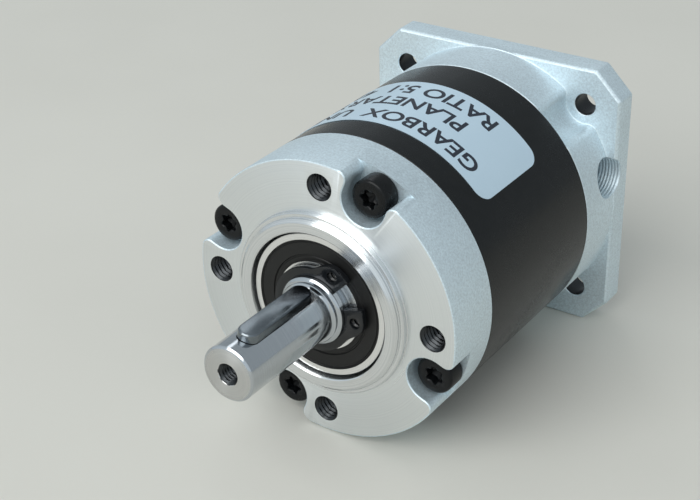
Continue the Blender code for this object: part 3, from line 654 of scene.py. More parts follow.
def plate_outline(d=0.0, q=0.7):
    """Square plate with cut corners, drawn in by d, with its eight corners rounded."""
    half, corner = SQUARE / 2, SQUARE / 2 - SQUARE_CHAMFER
    points = [(half, -corner), (half, corner), (corner, half), (-corner, half), (-half, corner), (-half, -corner), (-corner, -half), (corner, -half)]
    out = []
    for i, p in enumerate(points):
        p, a, b = Vector(p), Vector(points[i - 1]), Vector(points[(i + 1) % 8])
        da, db = (a - p).normalized(), (b - p).normalized()
        turn = da.angle(db)
        reach = q / math.tan(turn / 2)
        centre = p + (da + db).normalized() * (q / math.sin(turn / 2))
        pa, pb = p + da * reach - centre, p + db * reach - centre
        a0, a1 = math.degrees(math.atan2(pa.y, pa.x)), math.degrees(math.atan2(pb.y, pb.x))
        while a1 < a0:
            a1 += 360.0
        out += arc(centre.x, centre.y, q - d, a0, a1, 6)
    return out


bm = bmesh.new()
add_loft(bm, [at(-RING_END, body_outline(-0.08)), at(-RING_END - 0.08, body_outline()), at(S_PLATE + 0.22, body_outline()), at(S_PLATE + 0.07, body_outline(0.06)), at(S_PLATE, body_outline(0.16)), at(S_PLATE - 0.5, body_outline(0.16))])
motor_flange = finish_mesh("motor_flange_body", bm)
plate = bmesh.new()
add_loft(plate, [at(S_PLATE, plate_outline(0.42)), at(S_PLATE - 0.1, plate_outline(0.26)), at(S_PLATE - 0.36, plate_outline(0.03)), at(S_PLATE - 0.46, plate_outline()), at(-BODY_LENGTH + 0.3, plate_outline()), at(-BODY_LENGTH, plate_outline(0.3))])
cut(motor_flange, plate, operation="UNION")
bm = bmesh.new()
add_turned(bm, [(-31.9, SPIGOT_R - 0.3), (-32.2, SPIGOT_R), (-34.6, SPIGOT_R), (-34.6, 15.2), (-35.9, 15.2), (-35.9, SPIGOT_R), (-RING_END - 0.5, SPIGOT_R), (-RING_END - 0.5, 0.0), (-31.9, 0.0)], 192)
cut(motor_flange, bm, operation="UNION")
cavity = bmesh.new()
add_turned(cavity, [(-31.0, 0.0), (-31.0, 12.0), (-32.45, 12.0), (-32.45, 12.5), (-33.55, 12.5), (-33.55, 12.02), (-39.65, 12.02), (-39.65, 10.4), (-40.9, 10.4), (-40.9, CAVITY_R), (-BODY_LENGTH + 0.35, CAVITY_R), (-BODY_LENGTH - 0.6, CAVITY_R + 0.95), (-BODY_LENGTH - 0.6, 0.0)], 192)
holes = bmesh.new()
for sx in (-1, 1):
    for sz in (-1, 1):
        x, z = sx * MOTOR_HOLE_SPACING / 2, sz * MOTOR_HOLE_SPACING / 2
        add_turned(holes, [(S_PLATE + 1.0, 0.0), (S_PLATE + 1.0, MOTOR_HOLE_R + 1.12), (S_PLATE - 0.12, MOTOR_HOLE_R), (-BODY_LENGTH + 0.12, MOTOR_HOLE_R), (-BODY_LENGTH - 1.0, MOTOR_HOLE_R + 1.12), (-BODY_LENGTH - 1.0, 0.0)], 48, x, z)
for angle in SCREW_ANGLES:
    x, z = polar(SCREW_PCD_R, angle)
    add_turned(holes, [(-RING_END + 1.0, 0.0), (-RING_END + 1.0, 1.6), (-47.2, 1.6), (-47.2, HEAD_R + 0.25), (-BODY_LENGTH + 0.15, HEAD_R + 0.25), (-BODY_LENGTH - 1.0, HEAD_R + 1.4), (-BODY_LENGTH - 1.0, 0.0)], 40, x, z)
access = bmesh.new()
# the threaded hole is drawn along Y with its mouth at station 0, then laid along +X
moved(access, lambda b: add_thread(b, ACCESS_R - 0.06, ACCESS_R + 0.01, 0.5, 0.0, -12.0, mouth=0.0, n=72, per=6, lead_in=3.0),
      Matrix.Translation((REAR_BODY_R * MM, to_y(ACCESS_S), ACCESS_Z * MM)) @ Matrix.Rotation(math.radians(90), 4, "Z") @ Matrix.Translation((0, MID * MM, 0)))
cut(motor_flange, cavity, holes, access)
paint(motor_flange, BLASTED, MACHINED, RECESS_SHADE)
for p in motor_flange.data.polygons:
    c = p.center
    r, s = math.hypot(c.x, c.z) / MM, -c.y / MM - MID
    from_axis = math.hypot(c.y / MM - to_y(ACCESS_S) / MM, c.z / MM - ACCESS_Z)
    if c.x > 0.0105 and from_axis < ACCESS_R + 0.04 and abs(p.normal.x) < 0.75:
        p.material_index = 0
    # the motor holes' walls take the near-black material, painted shade in the holes
    elif any(math.hypot(c.x / MM - sx * MOTOR_HOLE_SPACING / 2, c.z / MM - sz * MOTOR_HOLE_SPACING / 2) < MOTOR_HOLE_R + 0.05 for sx in (-1, 1) for sz in (-1, 1)) and abs(p.normal.y) < 0.3:
        p.material_index = 2
    elif r < 12.6 or s < -BODY_LENGTH + 0.01:
        p.material_index = 1
place(motor_flange, "housing", "blasted_aluminium", "input_flange")


# ------------------------------------------------------------ screws
def add_star_screw(bm, head_r, head_h, shank_r, length, pitch=0.5, n=72):
    """A cap screw with a six-lobed socket, along Y, its head's underside at the origin and its head towards -Y."""
    def ring(r, y, lobes=0.0):
        return [bm.verts.new((rr * math.cos(a) * MM, y * MM, rr * math.sin(a) * MM)) for a, rr in ((2 * math.pi * k / n, r + lobes * math.cos(6 * 2 * math.pi * k / n)) for k in range(n))]

    rings = [
        ring(shank_r - 0.35, length), ring(shank_r, length - 0.35), ring(shank_r, length * 0.5), ring(shank_r, 0.06), ring(shank_r + 0.06, 0.0),
        ring(head_r - 0.12, 0.0), ring(head_r, -0.12), ring(head_r, -head_h + 0.42), ring(head_r - 0.05, -head_h + 0.26), ring(head_r - 0.16, -head_h + 0.12),
        ring(head_r - 0.34, -head_h + 0.03), ring(head_r - 0.5, -head_h), ring(1.62, -head_h), ring(1.36, -head_h + 0.04, 0.11),
        ring(1.22, -head_h + 0.16, 0.17), ring(1.2, -head_h + 0.8, 0.17), ring(1.2, -head_h + 1.45, 0.17), ring(0.6, -head_h + 1.75, 0.05),
    ]
    for a, b in zip(rings, rings[1:]):
        for k in range(n):
            k2 = (k + 1) % n
            bm.faces.new((a[k], a[k2], b[k2], b[k]))
    for end, y in ((rings[0], length), (rings[-1], -head_h + 1.85)):
        tip = bm.verts.new((0, y * MM, 0))
        for k in range(n):
            bm.faces.new((end[k], end[(k + 1) % n], tip))


def star_screw(name, node, matrix, length, spin_by=0.0):
    bm = bmesh.new()
    add_star_screw(bm, HEAD_R, HEAD_H, M3_R - 0.02, length)
    bmesh.ops.transform(bm, matrix=matrix @ Matrix.Rotation(math.radians(spin_by), 4, "Y"), verts=bm.verts)
    screw = finish_mesh(name, bm, 35.0)
    paint(screw, OXIDE)
    return place(screw, "input" if node == "clamp_screw" else "housing", "black_oxide_steel", node)


for k, angle in enumerate(SCREW_ANGLES, 1):
    x, z = polar(SCREW_PCD_R, angle)
    star_screw(f"front_cap_screw_{k}", f"output_flange_screw_{k}", Matrix.Translation((x * MM, to_y(-NOTCH_FLOOR + 0.02), z * MM)), 10.0, (8, 27, 14, 41)[k - 1])
    star_screw(f"rear_cap_screw_{k}", f"input_flange_screw_{k}", Matrix.Translation((x * MM, to_y(-47.22), z * MM)) @ Matrix.Rotation(math.pi, 4, "X"), 14.0, (20, 5, 33, 48)[k - 1])
star_screw("clamp_cap_screw", "clamp_screw", Matrix.Translation((4.04 * MM, to_y(ACCESS_S), ACCESS_Z * MM)) @ Matrix.Rotation(math.radians(90), 4, "Z"), 10.0, 12)

# ------------------------------------------------------------ label
LABEL_CORNER = 2.2


def label_patch(name, inner, outer, columns=96, rows=6):
    """The label: a curved sheet with rounded corners."""
    length = math.radians(LABEL_TO - LABEL_FROM) * BODY_R
    steps = []
    for k in range(13):
        steps.append(LABEL_CORNER * (1 - math.cos(math.pi / 2 * k / 12)))
    steps += [LABEL_CORNER + (length - 2 * LABEL_CORNER) * k / columns for k in range(1, columns)]
    steps += [length - d for d in reversed(steps[:13])]
    bm = bmesh.new()
    grid = {}
    for i, u in enumerate(steps):
        near = min(u, length - u)
        d = LABEL_CORNER - math.sqrt(max(LABEL_CORNER ** 2 - (LABEL_CORNER - near) ** 2, 0.0)) if near < LABEL_CORNER else 0.0
        angle = LABEL_FROM + math.degrees(u / BODY_R)
        for j in range(rows + 1):
            s = (LABEL_FRONT - d) + ((LABEL_REAR + d) - (LABEL_FRONT - d)) * j / rows
            for side, r in ((0, inner), (1, outer)):
                x, z = polar(r, angle)
                grid[i, j, side] = bm.verts.new((x * MM, to_y(s), z * MM))
    last = len(steps) - 1
    for i in range(last):
        for j in range(rows):
            for side in (0, 1):
                bm.faces.new((grid[i, j, side], grid[i + 1, j, side], grid[i + 1, j + 1, side], grid[i, j + 1, side]))
        for j in (0, rows):
            bm.faces.new((grid[i, j, 0], grid[i + 1, j, 0], grid[i + 1, j, 1], grid[i, j, 1]))
    for i in (0, last):
        for j in range(rows):
            bm.faces.new((grid[i, j, 0], grid[i, j + 1, 0], grid[i, j + 1, 1], grid[i, j, 1]))
    return finish_mesh(name, bm)


label = label_patch("silver_label", BODY_R + 0.03, BODY_R + 0.10)
paint(label, LABEL)
place(label, "housing", "label_film", "name_label")


def wrapped_text(name, words, size, start_angle, station, squeeze=1.0, weight=0.0):
    """Generic words printed on the label. They read with rising angle, and their tops point to the shaft."""
    curve = bpy.data.curves.new(name, "FONT")
    curve.body = words
    curve.size = size
    curve.extrude = 0.008
    curve.offset = weight
    curve.resolution_u = 6
    temp = bpy.data.objects.new("temp_text", curve)
    scene.collection.objects.link(temp)
    bpy.context.view_layer.update()
    mesh = bpy.data.meshes.new_from_object(temp.evaluated_get(bpy.context.evaluated_depsgraph_get()))
    bpy.data.objects.remove(temp, do_unlink=True)
    bpy.data.curves.remove(curve)
    bm = bmesh.new()
    bm.from_mesh(mesh)
    bpy.data.meshes.remove(mesh)
    bmesh.ops.remove_doubles(bm, verts=bm.verts, dist=1e-5)
    width = max(v.co.x for v in bm.verts) * squeeze
    for k in range(1, int(width / 0.45) + 1):
        geom = list(bm.verts) + list(bm.edges) + list(bm.faces)
        bmesh.ops.bisect_plane(bm, geom=geom, plane_co=(k * 0.45 / squeeze, 0, 0), plane_no=(1, 0, 0), dist=1e-6)
    for v in bm.verts:
        angle = start_angle + math.degrees(v.co.x * squeeze / (BODY_R + 0.1))
        x, z = polar(BODY_R + 0.105 + v.co.z, angle)
        v.co = Vector((x * MM, to_y(station + v.co.y), z * MM))
    obj = finish_mesh(name, bm, 40.0)
    paint(obj, INK)
    return place(obj, "housing", "label_film")


wrapped_text("label_line_1", "GEARBOX  UNIT", 4.15, 49.8, -18.95, 1.0, 0.085)
wrapped_text("label_line_2", "PLANETARY", 4.15, 65.4, -24.05, 1.0, 0.085)
wrapped_text("label_line_3", "RATIO 5:1  42", 4.15, 58.4, -28.65, 1.0, 0.085)


# ------------------------------------------------------------ ball bearings
def bearing(prefix, body_of_cage, inner_body, s_front, bore, outside, width, ball_r, balls, land_in, land_out, seals, n=128):
    s_rear = s_front - width
    mid = s_front - width / 2
    pitch = (bore + outside) / 2
    groove = ball_r + 0.05
    at_front = any(seal[2] for seal in seals)
    at_rear = any(not seal[2] for seal in seals)

    def raceway(side, land):
        reach = math.sqrt(groove ** 2 - (land - pitch) ** 2)
        return [(mid + x, pitch + side * math.sqrt(groove ** 2 - x * x)) for x in (reach * k / 6 for k in range(-6, 7))]

    def step(land, seat, is_rear):
        end, deep = (s_rear, s_rear + 0.75) if is_rear else (s_front, s_front - 0.75)
        sealed = at_rear if is_rear else at_front
        return [(end, seat), (deep, seat), (deep, land)] if sealed else [(end, land)]

    inner = step(land_in, land_in - 0.35, True) + raceway(-1, land_in) + list(reversed(step(land_in, land_in - 0.35, False)))
    inner += [(s_front, bore + 0.32), (s_front - 0.3, bore + 0.01), (s_rear + 0.3, bore + 0.01), (s_rear, bore + 0.32)]
    outer = step(land_out, land_out + 0.3, True) + raceway(1, land_out) + list(reversed(step(land_out, land_out + 0.3, False)))
    outer += [(s_front, outside - 0.40), (s_front - 0.05, outside - 0.34), (s_front - 0.25, outside - 0.27), (s_front - 1.0, outside - 0.19), (s_front - 1.3, outside - 0.01), (s_rear + 0.4, outside - 0.01), (s_rear, outside - 0.36)]
    for name, node, profile, body in (("inner_race", "inner_ring", inner, inner_body), ("outer_race", "outer_ring", outer, "housing")):
        race = turned_piece(f"{prefix}_{name}", profile, n)
        paint(race, RACE)
        place(race, body, "bearing_steel", f"{prefix}_{node}")
    bm = bmesh.new()
    add_turned(bm, softened([(mid + 0.7, pitch - 0.25), (mid + 0.7, pitch + 0.25), (mid - 0.7, pitch + 0.25), (mid - 0.7, pitch - 0.25)], 0.08, 2), 64)
    cage = finish_mesh(f"{prefix}_ball_set", bm)
    tool = bmesh.new()
    for k in range(balls):
        x, z = polar(pitch, 360.0 * k / balls)
        bmesh.ops.create_uvsphere(tool, u_segments=32, v_segments=20, radius=(ball_r - 0.02) * MM, matrix=Matrix.Translation((x * MM, to_y(mid), z * MM)))
    cut(cage, tool, operation="UNION")
    paint(cage, RACE)
    place(cage, body_of_cage, "bearing_steel", f"{prefix}_balls")
    for node, name, front_side in seals:
        a, sign = (s_front - 0.1, -1) if front_side else (s_rear + 0.1, 1)
        lo, hi = land_in - 0.30, land_out + 0.26
        seal = turned_piece(name, [
            (a + sign * 0.06, lo), (a + sign * 0.02, lo + 0.12), (a + sign * 0.02, lo + 0.62), (a + sign * 0.14, lo + 0.72), (a + sign * 0.14, lo + 0.86),
            (a, lo + 0.98), (a, hi - 0.42), (a + sign * 0.12, hi - 0.34), (a + sign * 0.12, hi - 0.22), (a + sign * 0.02, hi - 0.14), (a + sign * 0.05, hi),
            (a + sign * 0.5, hi), (a + sign * 0.5, lo),
        ], n)
        paint(seal, RUBBER)
        place(seal, "housing", "seal_rubber", node)


bearing("front_bearing", "front_bearing_cage", "output", 0.95, JOURNAL_R, 11.0, 6.05, 1.5, 8, 6.95, 9.5, (("front_bearing_seal", "front_bearing_shield", True), ("front_bearing_rear_seal", "front_bearing_rear_shield", False)))
bearing("rear_bearing", "rear_bearing_cage", "output", -6.95, SHOULDER_R, 12.0, 6.0, 1.5, 8, 7.9, 10.1, (("rear_bearing_seal", "rear_bearing_shield", False),))
bearing("input_bearing", "input_bearing_cage", "input", -33.6, SHOULDER_R, 12.0, 6.0, 1.5, 8, 7.9, 10.1, (("input_bearing_seal", "input_bearing_shield", False),))

# ------------------------------------------------------------ output shaft
DISC_FRONT, DISC_REAR = -13.7, -16.4
shaft_profile = [
    (11.0, 0.0), (SHAFT_OUT + 0.0, 0.0), (SHAFT_OUT, SHAFT_R - 0.36), (SHAFT_OUT - 0.07, SHAFT_R - 0.22), (SHAFT_OUT - 0.3, SHAFT_R),
    (3.75, SHAFT_R), (3.62, 4.05), (3.5, 4.22), (3.42, 4.42), (3.3, 4.5), (3.12, 4.5), (3.06, 4.4), (2.98, 4.4), (2.92, 4.66), (2.8, 4.84), (2.62, JOURNAL_R), (2.15, JOURNAL_R), (2.15, 4.75), (0.98, 4.75),
    (0.98, JOURNAL_R), (-5.3, JOURNAL_R), (-5.3, SHOULDER_R), (-13.1, SHOULDER_R), (-13.1, 7.3), (DISC_FRONT, 7.3), (DISC_FRONT, CARRIER_R - 0.3),
    (DISC_FRONT - 0.3, CARRIER_R), (DISC_REAR + 0.3, CARRIER_R), (DISC_REAR, CARRIER_R - 0.3), (DISC_REAR, 0.0),
]
shaft = turned_piece("keyed_output_shaft", shaft_profile[1:], 192)
bm = bmesh.new()
for angle in PLANET_ANGLES:
    x, z = polar(POST_PCD_R, angle + 60.0)
    add_turned(bm, [(DISC_REAR + 0.5, 0.0), (DISC_REAR + 0.5, POST_R), (PLANET_REAR - 0.25, POST_R), (PLANET_REAR - 0.45, POST_R - 0.2), (PLANET_REAR - 0.45, 0.0)], 40, x, z)
cut(shaft, bm, operation="UNION")


def slot_outline(length, width, n=16):
    r = width / 2
    h = length / 2 - r
    return arc(h, 0, r, -90, 90, n) + arc(-h, 0, r, 90, 270, n)


def laid_on_shaft(bm, along=KEY_NEAR - KEY_L / 2):
    """Turns what was drawn in plan, with its length along X, onto the shaft's top at the key's angle."""
    for turn, axis in ((90, "X"), (90, "Z")):
        bmesh.ops.rotate(bm, verts=bm.verts, cent=(0, 0, 0), matrix=Matrix.Rotation(math.radians(turn), 3, axis))
    bmesh.ops.translate(bm, verts=bm.verts, vec=(0, to_y(along), 0))
    bmesh.ops.rotate(bm, verts=bm.verts, cent=(0, 0, 0), matrix=Matrix.Rotation(math.radians(90 - KEY_ANGLE), 3, "Y"))


keyway = bmesh.new()
add_loft(keyway, [at(-MID - (SHAFT_R - 1.8), slot_outline(KEY_L + 0.3, KEY_W + 0.12)), at(-MID - SHAFT_R + 0.1, slot_outline(KEY_L + 0.3, KEY_W + 0.12)), at(-MID - 8.0, slot_outline(KEY_L + 0.5, KEY_W + 0.3))])
laid_on_shaft(keyway)
bores = bmesh.new()
for angle in PLANET_ANGLES:
    x, z = polar(CENTRES, angle)
    add_turned(bores, [(DISC_FRONT + 1.0, 0.0), (DISC_FRONT + 1.0, 1.52), (DISC_REAR - 1.0, 1.52), (DISC_REAR - 1.0, 0.0)], 32, x, z)
    x, z = polar(POST_PCD_R, angle + 60.0)
    add_turned(bores, [(-22.6, 0.0), (-22.6, 1.03), (PLANET_REAR - 2.0, 1.03), (PLANET_REAR - 2.0, 0.0)], 24, x, z)
centre = bmesh.new()
add_thread(centre, 1.24, 1.52, 0.5, SHAFT_OUT, SHAFT_OUT - 9.5, mouth=1.62, n=40)
cut(shaft, keyway, bores, centre)
paint(shaft, SHAFT, SHAFT_END, RECESS_SHADE, GEAR)
for p in shaft.data.polygons:
    c = p.center
    r, s = math.hypot(c.x, c.z) / MM, -c.y / MM - MID
    # the centre hole and the keyway's walls take the near-black material, painted shade in the recesses
    if r < 1.6 and s > 10 or r < 3.93 and 4.0 < s < 19.5:
        p.material_index = 2
    elif s > SHAFT_OUT - 0.02:
        p.material_index = 1
    elif s < -13.2:
        p.material_index = 3
place(shaft, "output", "ground_steel", "output_shaft")

bm = bmesh.new()
key_low, key_high = SHAFT_R - 1.8 + 0.04, KEY_TOP
add_loft(bm, [at(-MID - key_low, slot_outline(KEY_L - 0.3, KEY_W - 0.3)), at(-MID - key_low - 0.15, slot_outline(KEY_L, KEY_W)), at(-MID - key_high + 0.32, slot_outline(KEY_L, KEY_W)), at(-MID - key_high + 0.2, slot_outline(KEY_L - 0.06, KEY_W - 0.06)), at(-MID - key_high + 0.04, slot_outline(KEY_L - 0.36, KEY_W - 0.36)), at(-MID - key_high, slot_outline(KEY_L - 0.6, KEY_W - 0.6))])
laid_on_shaft(bm)
key = finish_mesh("parallel_key", bm, 28.0)
paint(key, KEY)
place(key, "output", "key_steel", "shaft_key")


# ------------------------------------------------------------ retaining rings
def eared_ring(inner_r, band_thin, band_thick, ear_r, ear_out, ear_at, ear_w, gap_half, hole_r, phase, n=72):
    """Outline of an external retaining ring. It is thick opposite its gap, and each ear swells round its hole."""
    outer = []
    start, end = gap_half, 360.0 - gap_half
    for k in range(n + 1):
        a = start + (end - start) * k / n
        band = band_thin + (band_thick - band_thin) * (1 - math.cos(math.radians(a))) / 2
        r = inner_r + band
        for centre in (ear_at, 360.0 - ear_at):
            away = abs(a - centre) / ear_w
            inside = a < centre if centre < 180 else a > centre
            if inside:
                lift = 1.0
            else:
                lift = 0.5 + 0.5 * math.cos(math.pi * min(away, 1.0))
            if away < 1.0 or inside:
                r = max(r, r + (ear_out - r) * lift)
        outer.append(polar(r, a))
    inner = arc(0, 0, inner_r, end, start, n)
    loops = [[turned(x, z, phase) for x, z in outer + inner]]
    for side in (-1, 1):
        x, z = polar(ear_r, phase + side * ear_at)
        loops.append(circle(x, z, hole_r, 28))
    return loops


bm = bmesh.new()
add_plate(bm, eared_ring(4.82, 1.15, 1.75, 6.6, 8.0, 32.0, 34.0, 15.0, 0.78, CIRCLIP_ANGLE - 2.5), 2.08, 1.05)
clip = bevelled(finish_mesh("shaft_retaining_ring", bm), 0.09, 40, 2)
paint(clip, CLIP)
place(clip, "output", "black_oxide_steel", "shaft_circlip")
bm = bmesh.new()
add_plate(bm, eared_ring(5.92, 1.2, 1.7, 7.55, 8.6, 25.5, 10.0, 18.0, 0.6, 200.0), -32.46, -33.44)
clip = bevelled(finish_mesh("hub_retaining_ring", bm), 0.06, 40, 1)
paint(clip, CLIP)
place(clip, "input", "black_oxide_steel", "input_hub_circlip")


def inner_eared_ring(outer_r, band, lug_r, gap_half, lug_half, phase, n=96):
    start, end = gap_half, 360.0 - gap_half
    outer = arc(0, 0, outer_r, start, end, n)
    inner = []
    for k in range(n + 1):
        a = end - (end - start) * k / n
        near = min(a - start, end - a)
        lift = 1.0 if near < lug_half * 1.5 else 0.5 + 0.5 * math.cos(math.pi * min((near - lug_half * 1.5) / 4.0, 1.0))
        r = outer_r - band * (0.75 + 0.25 * (1 - math.cos(math.radians(a))) / 2)
        inner.append(polar(r + (lug_r - r) * lift, a))
    loops = [[turned(x, z, phase) for x, z in outer + inner]]
    for side in (-1, 1):
        x, z = polar(10.6, phase + side * 17.0)
        loops.append(circle(x, z, 0.6, 24))
    return loops


bm = bmesh.new()
add_plate(bm, inner_eared_ring(12.4, 1.7, 9.6, 12.0, 6.0, 20.0), -32.5, -33.5)
clip = bevelled(finish_mesh("flange_retaining_ring", bm), 0.06, 40, 1)
paint(clip, CLIP)
place(clip, "housing", "black_oxide_steel", "input_bearing_retaining_ring")

# ------------------------------------------------------------ carrier, planets, sun
bm = bmesh.new()
add_turned(bm, [(-26.4, 4.9), (-26.4, CARRIER_R - 0.25), (-26.65, CARRIER_R), (-28.35, CARRIER_R), (-28.6, CARRIER_R - 0.25), (-28.6, 4.9)], 160)
carrier = finish_mesh("rear_carrier_plate", bm)
bm = bmesh.new()
for angle in PLANET_ANGLES:
    x, z = polar(CENTRES, angle)
    add_turned(bm, [(-26.0, 0.0), (-26.0, 1.52), (-29.0, 1.52), (-29.0, 0.0)], 32, x, z)
    x, z = polar(POST_PCD_R, angle + 60.0)
    add_turned(bm, [(-26.0, 0.0), (-26.0, 1.12), (-27.4, 1.12), (-28.4, 2.12), (-29.0, 2.12), (-29.0, 0.0)], 32, x, z)
cut(carrier, bm)
paint(carrier, GEAR)
place(carrier, "output", "gear_steel", "carrier_plate")

for k, angle in enumerate(PLANET_ANGLES, 1):
    x, z = polar(POST_PCD_R, angle + 60.0)
    bm = bmesh.new()
    n = 36

    def ring(r, s, lobes=0.0):
        return [(x + (r + lobes * math.cos(12 * math.pi * j / n)) * math.cos(2 * math.pi * j / n), s, z + (r + lobes * math.cos(12 * math.pi * j / n)) * math.sin(2 * math.pi * j / n)) for j in range(n)]

    add_loft(bm, [ring(0.7, -23.0), ring(0.98, -23.3), ring(0.98, -27.45), ring(2.0, -28.42), ring(2.0, -28.55), ring(0.95, -28.55), ring(0.8, -28.5, 0.08), ring(0.78, -27.7, 0.08), ring(0.4, -27.55)])
    screw = finish_mesh(f"carrier_countersunk_screw_{k}", bm, 35.0)
    paint(screw, OXIDE)
    place(screw, "output", "black_oxide_steel", f"carrier_screw_{k}")
    x, z = polar(CENTRES, angle)
    pin = turned_piece(f"planet_axle_{k}", [(-13.9, 0.0), (-13.9, 1.3), (-14.1, 1.5), (-28.3, 1.5), (-28.5, 1.3), (-28.5, 0.0)], 48, x, z)
    paint(pin, RACE)
    place(pin, "output", "ground_steel", f"planet_pin_{k}")
    for node, name, s, body in ((f"planet_front_washer_{k}", f"front_thrust_washer_{k}", PLANET_FRONT + 0.38, "output"), (f"planet_rear_washer_{k}", f"rear_thrust_washer_{k}", PLANET_REAR - 0.08, "output")):
        washer = turned_piece(name, softened([(s, 1.56), (s, 3.2), (s - 0.3, 3.2), (s - 0.3, 1.56)], 0.04, 2), 64, x, z)
        paint(washer, BRONZE)
        place(washer, body, "bronze", node)
    phase = GEAR_ANGLE + (angle - GEAR_ANGLE) * (1.0 - RING_T / PLANET_T)
    bm = bmesh.new()
    outline = shifted(gear_outline(PLANET_T, 0.9 * MODULE, 1.2 * MODULE, 0.06, phase=phase), x, z)
    add_plate(bm, [outline, circle(x, z, 2.36, 48)], PLANET_FRONT, PLANET_REAR)
    gear = finish_mesh(f"planet_wheel_{k}", bm, 25.0)
    paint(gear, GEAR)
    place(gear, f"planet_{k}", "gear_steel", f"planet_gear_{k}")
    bush = turned_piece(f"planet_bushing_{k}", softened([(PLANET_FRONT - 0.1, 1.56), (PLANET_FRONT - 0.1, 2.32), (PLANET_REAR + 0.1, 2.32), (PLANET_REAR + 0.1, 1.56)], 0.08, 2), 48, x, z)
    paint(bush, BRONZE)
    place(bush, f"planet_{k}", "bronze", f"planet_bush_{k}")

bm = bmesh.new()
add_plate(bm, [gear_outline(SUN_T, 0.9 * MODULE, 1.2 * MODULE, 0.06, phase=GEAR_ANGLE + 180.0 / SUN_T)], -17.2, -27.4)
sun = finish_mesh("sun_pinion", bm, 25.0)
bm = bmesh.new()
add_turned(bm, [(-27.0, 0.0), (-27.0, 2.6), (-35.2, 2.6), (-35.5, 2.3), (-35.5, 0.0)], 64)
cut(sun, bm, operation="UNION", smooth=25.0)
paint(sun, GEAR)
place(sun, "input", "gear_steel", "sun_gear")

# ------------------------------------------------------------ motor clamp
hub_profile = [
    (-31.2, 2.66), (-31.2, 5.7), (-31.5, SHOULDER_R), (-32.4, SHOULDER_R), (-32.4, 5.75), (-33.52, 5.75), (-33.52, SHOULDER_R), (-39.7, SHOULDER_R),
    (-39.7, 7.25), (-39.85, 7.4), (-41.05, 7.4), (-41.2, 7.25), (-41.2, 3.3), (-48.35, 3.3), (-48.5, 3.15), (-48.5, 2.8), (-48.2, 2.5), (-37.2, 2.5), (-36.6, 0.0), (-36.0, 0.0), (-36.0, 2.66),
]
hub = turned_piece("motor_clamp_hub", hub_profile, 128)
bm = bmesh.new()
add_plate(bm, [[(-4.5, -0.35), (4.5, -0.35), (4.5, 0.35), (-4.5, 0.35)]], -41.9, -50.0)
cut(hub, bm)
paint(hub, GEAR)
place(hub, "input", "gear_steel", "input_clamp_hub")

bm = bmesh.new()
add_turned(bm, [(-41.9, 3.37), (-41.9, 9.3), (-42.2, 9.6), (-48.1, 9.6), (-48.4, 9.3), (-48.4, 3.55), (-48.2, 3.37)], 160)
collar = finish_mesh("clamping_collar", bm)
slit = bmesh.new()
add_plate(slit, [[(-0.6, 2.0), (0.6, 2.0), (0.6, 11.0), (-0.6, 11.0)]], -40.0, -50.0)


def along_x(r, x0, x1, n=40):
    bm = bmesh.new()
    add_turned(bm, [(-MID - x0, 0.0), (-MID - x0, r), (-MID - x1, r), (-MID - x1, 0.0)], n)
    bmesh.ops.rotate(bm, verts=bm.verts, cent=(0, 0, 0), matrix=Matrix.Rotation(math.radians(-90), 3, "Z"))
    bmesh.ops.translate(bm, verts=bm.verts, vec=(0, to_y(ACCESS_S), ACCESS_Z * MM))
    return bm


cut(collar, slit, along_x(HEAD_R + 0.08, 4.0, 12.0), along_x(M3_R + 0.02, -6.6, 5.0))
paint(collar, OXIDE)
place(collar, "input", "black_oxide_steel", "clamp_collar")

# ------------------------------------------------------------ O-rings
for node, name, s in (("output_flange_o_ring", "front_o_ring", -11.85), ("input_flange_o_ring", "rear_o_ring", -35.25)):
    ring_profile = [(s + 0.34 * math.sin(2 * math.pi * k / 16), 15.69 + 0.30 * math.cos(2 * math.pi * k / 16)) for k in range(16)]
    ring = turned_piece(name, ring_profile, 128)
    paint(ring, RUBBER)
    place(ring, "housing", "seal_rubber", node)

# ------------------------------------------------------------ camera
right = Vector((0.8284765, 0.5596711, -0.0197316))
up = Vector((-0.2565043, 0.4105469, 0.8750182))
back = -Vector((-0.4978275, 0.7198707, -0.4836878))
cam_data = bpy.data.cameras.new("camera")
cam_data.sensor_fit = "HORIZONTAL"
cam_data.sensor_width = 36.0
cam_data.lens = 78.313
cam_data.clip_start = 0.005
cam_data.clip_end = 20.0
cam = bpy.data.objects.new("camera", cam_data)
m = Matrix.Identity(4)
for i, column in enumerate((right, up, back)):
    for j in range(3):
        m[j][i] = column[j]
m.translation = Vector((0.104554, -0.159258, 0.106542))
cam.matrix_world = m
scene.collection.objects.link(cam)
scene.camera = cam

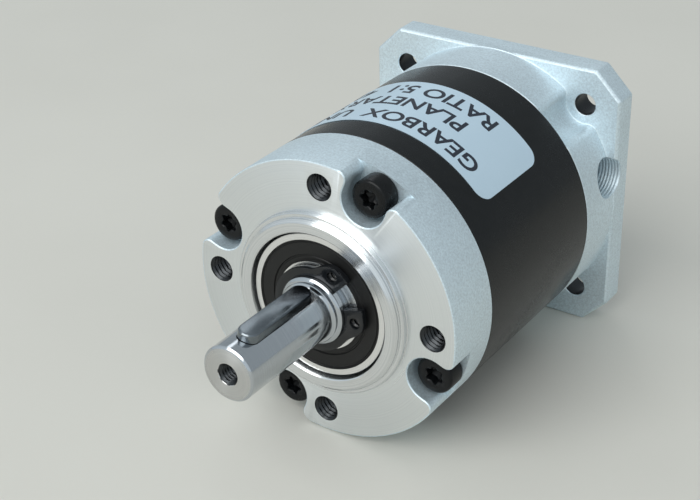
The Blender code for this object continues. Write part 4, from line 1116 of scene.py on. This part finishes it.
# ------------------------------------------------------------ floor and light
FLOOR_Z = -0.02118
bm = bmesh.new()
steps = [(-2.2 + 4.4 * k / 16) for k in range(17)]
grid = [[bm.verts.new((x, y, FLOOR_Z)) for x in steps] for y in steps]
for i in range(16):
    for j in range(16):
        bm.faces.new((grid[i][j], grid[i][j + 1], grid[i + 1][j + 1], grid[i + 1][j]))
floor = finish_mesh("floor", bm)
fm, ft, fs, fc = nodes_of("pale_floor")
cloud = noise(ft, fc, 14.0, 3.0, 0.55)
fine = noise(ft, fc, 900.0, 2.0, 0.6)
ft.links.new(mixed(ft, spread(ft, cloud, 0.0, 1.0), (0.622, 0.602, 0.548), (0.652, 0.632, 0.578)), fs.inputs["Base Color"])
ft.links.new(spread(ft, fine, 0.52, 0.6), fs.inputs["Roughness"])
fs.inputs["Specular IOR Level"].default_value = 0.35
floor.data.materials.append(fm)

world = bpy.data.worlds.new("studio")
world.use_nodes = True
world.node_tree.nodes["Background"].inputs["Color"].default_value = (0.86, 0.95, 1.0, 1.0)
# the room is lighter in front of the gearbox than behind it
way = world.node_tree.nodes.new("ShaderNodeSeparateXYZ")
world.node_tree.links.new(world.node_tree.nodes.new("ShaderNodeTexCoord").outputs["Generated"], way.inputs[0])
world.node_tree.links.new(spread(world.node_tree, way.outputs["Y"], 0.92, 0.38, -1.0, 1.0), world.node_tree.nodes["Background"].inputs["Strength"])
scene.world = world


def area_light(name, location, target, size_x, size_y, energy, colour=(1.0, 1.0, 1.0)):
    data = bpy.data.lights.new(name, "AREA")
    data.shape = "RECTANGLE"
    data.size = size_x
    data.size_y = size_y
    data.energy = energy
    data.color = colour
    light = bpy.data.objects.new(name, data)
    light.location = location
    light.rotation_euler = (Vector(target) - Vector(location)).to_track_quat("-Z", "Y").to_euler()
    scene.collection.objects.link(light)
    return light


area_light("key_light", (-0.10, -0.85, 0.80), (0, 0, 0), 1.10, 0.80, 8.7, (1.0, 0.99, 0.965))
area_light("back_light", (-0.45, 0.55, 0.75), (0, 0, 0), 0.16, 0.50, 0.35, (0.95, 0.98, 1.0))

scene.view_settings.view_transform = "Standard"
scene.view_settings.look = "None"
scene.view_settings.exposure = 0.0
scene.view_settings.gamma = 1.0
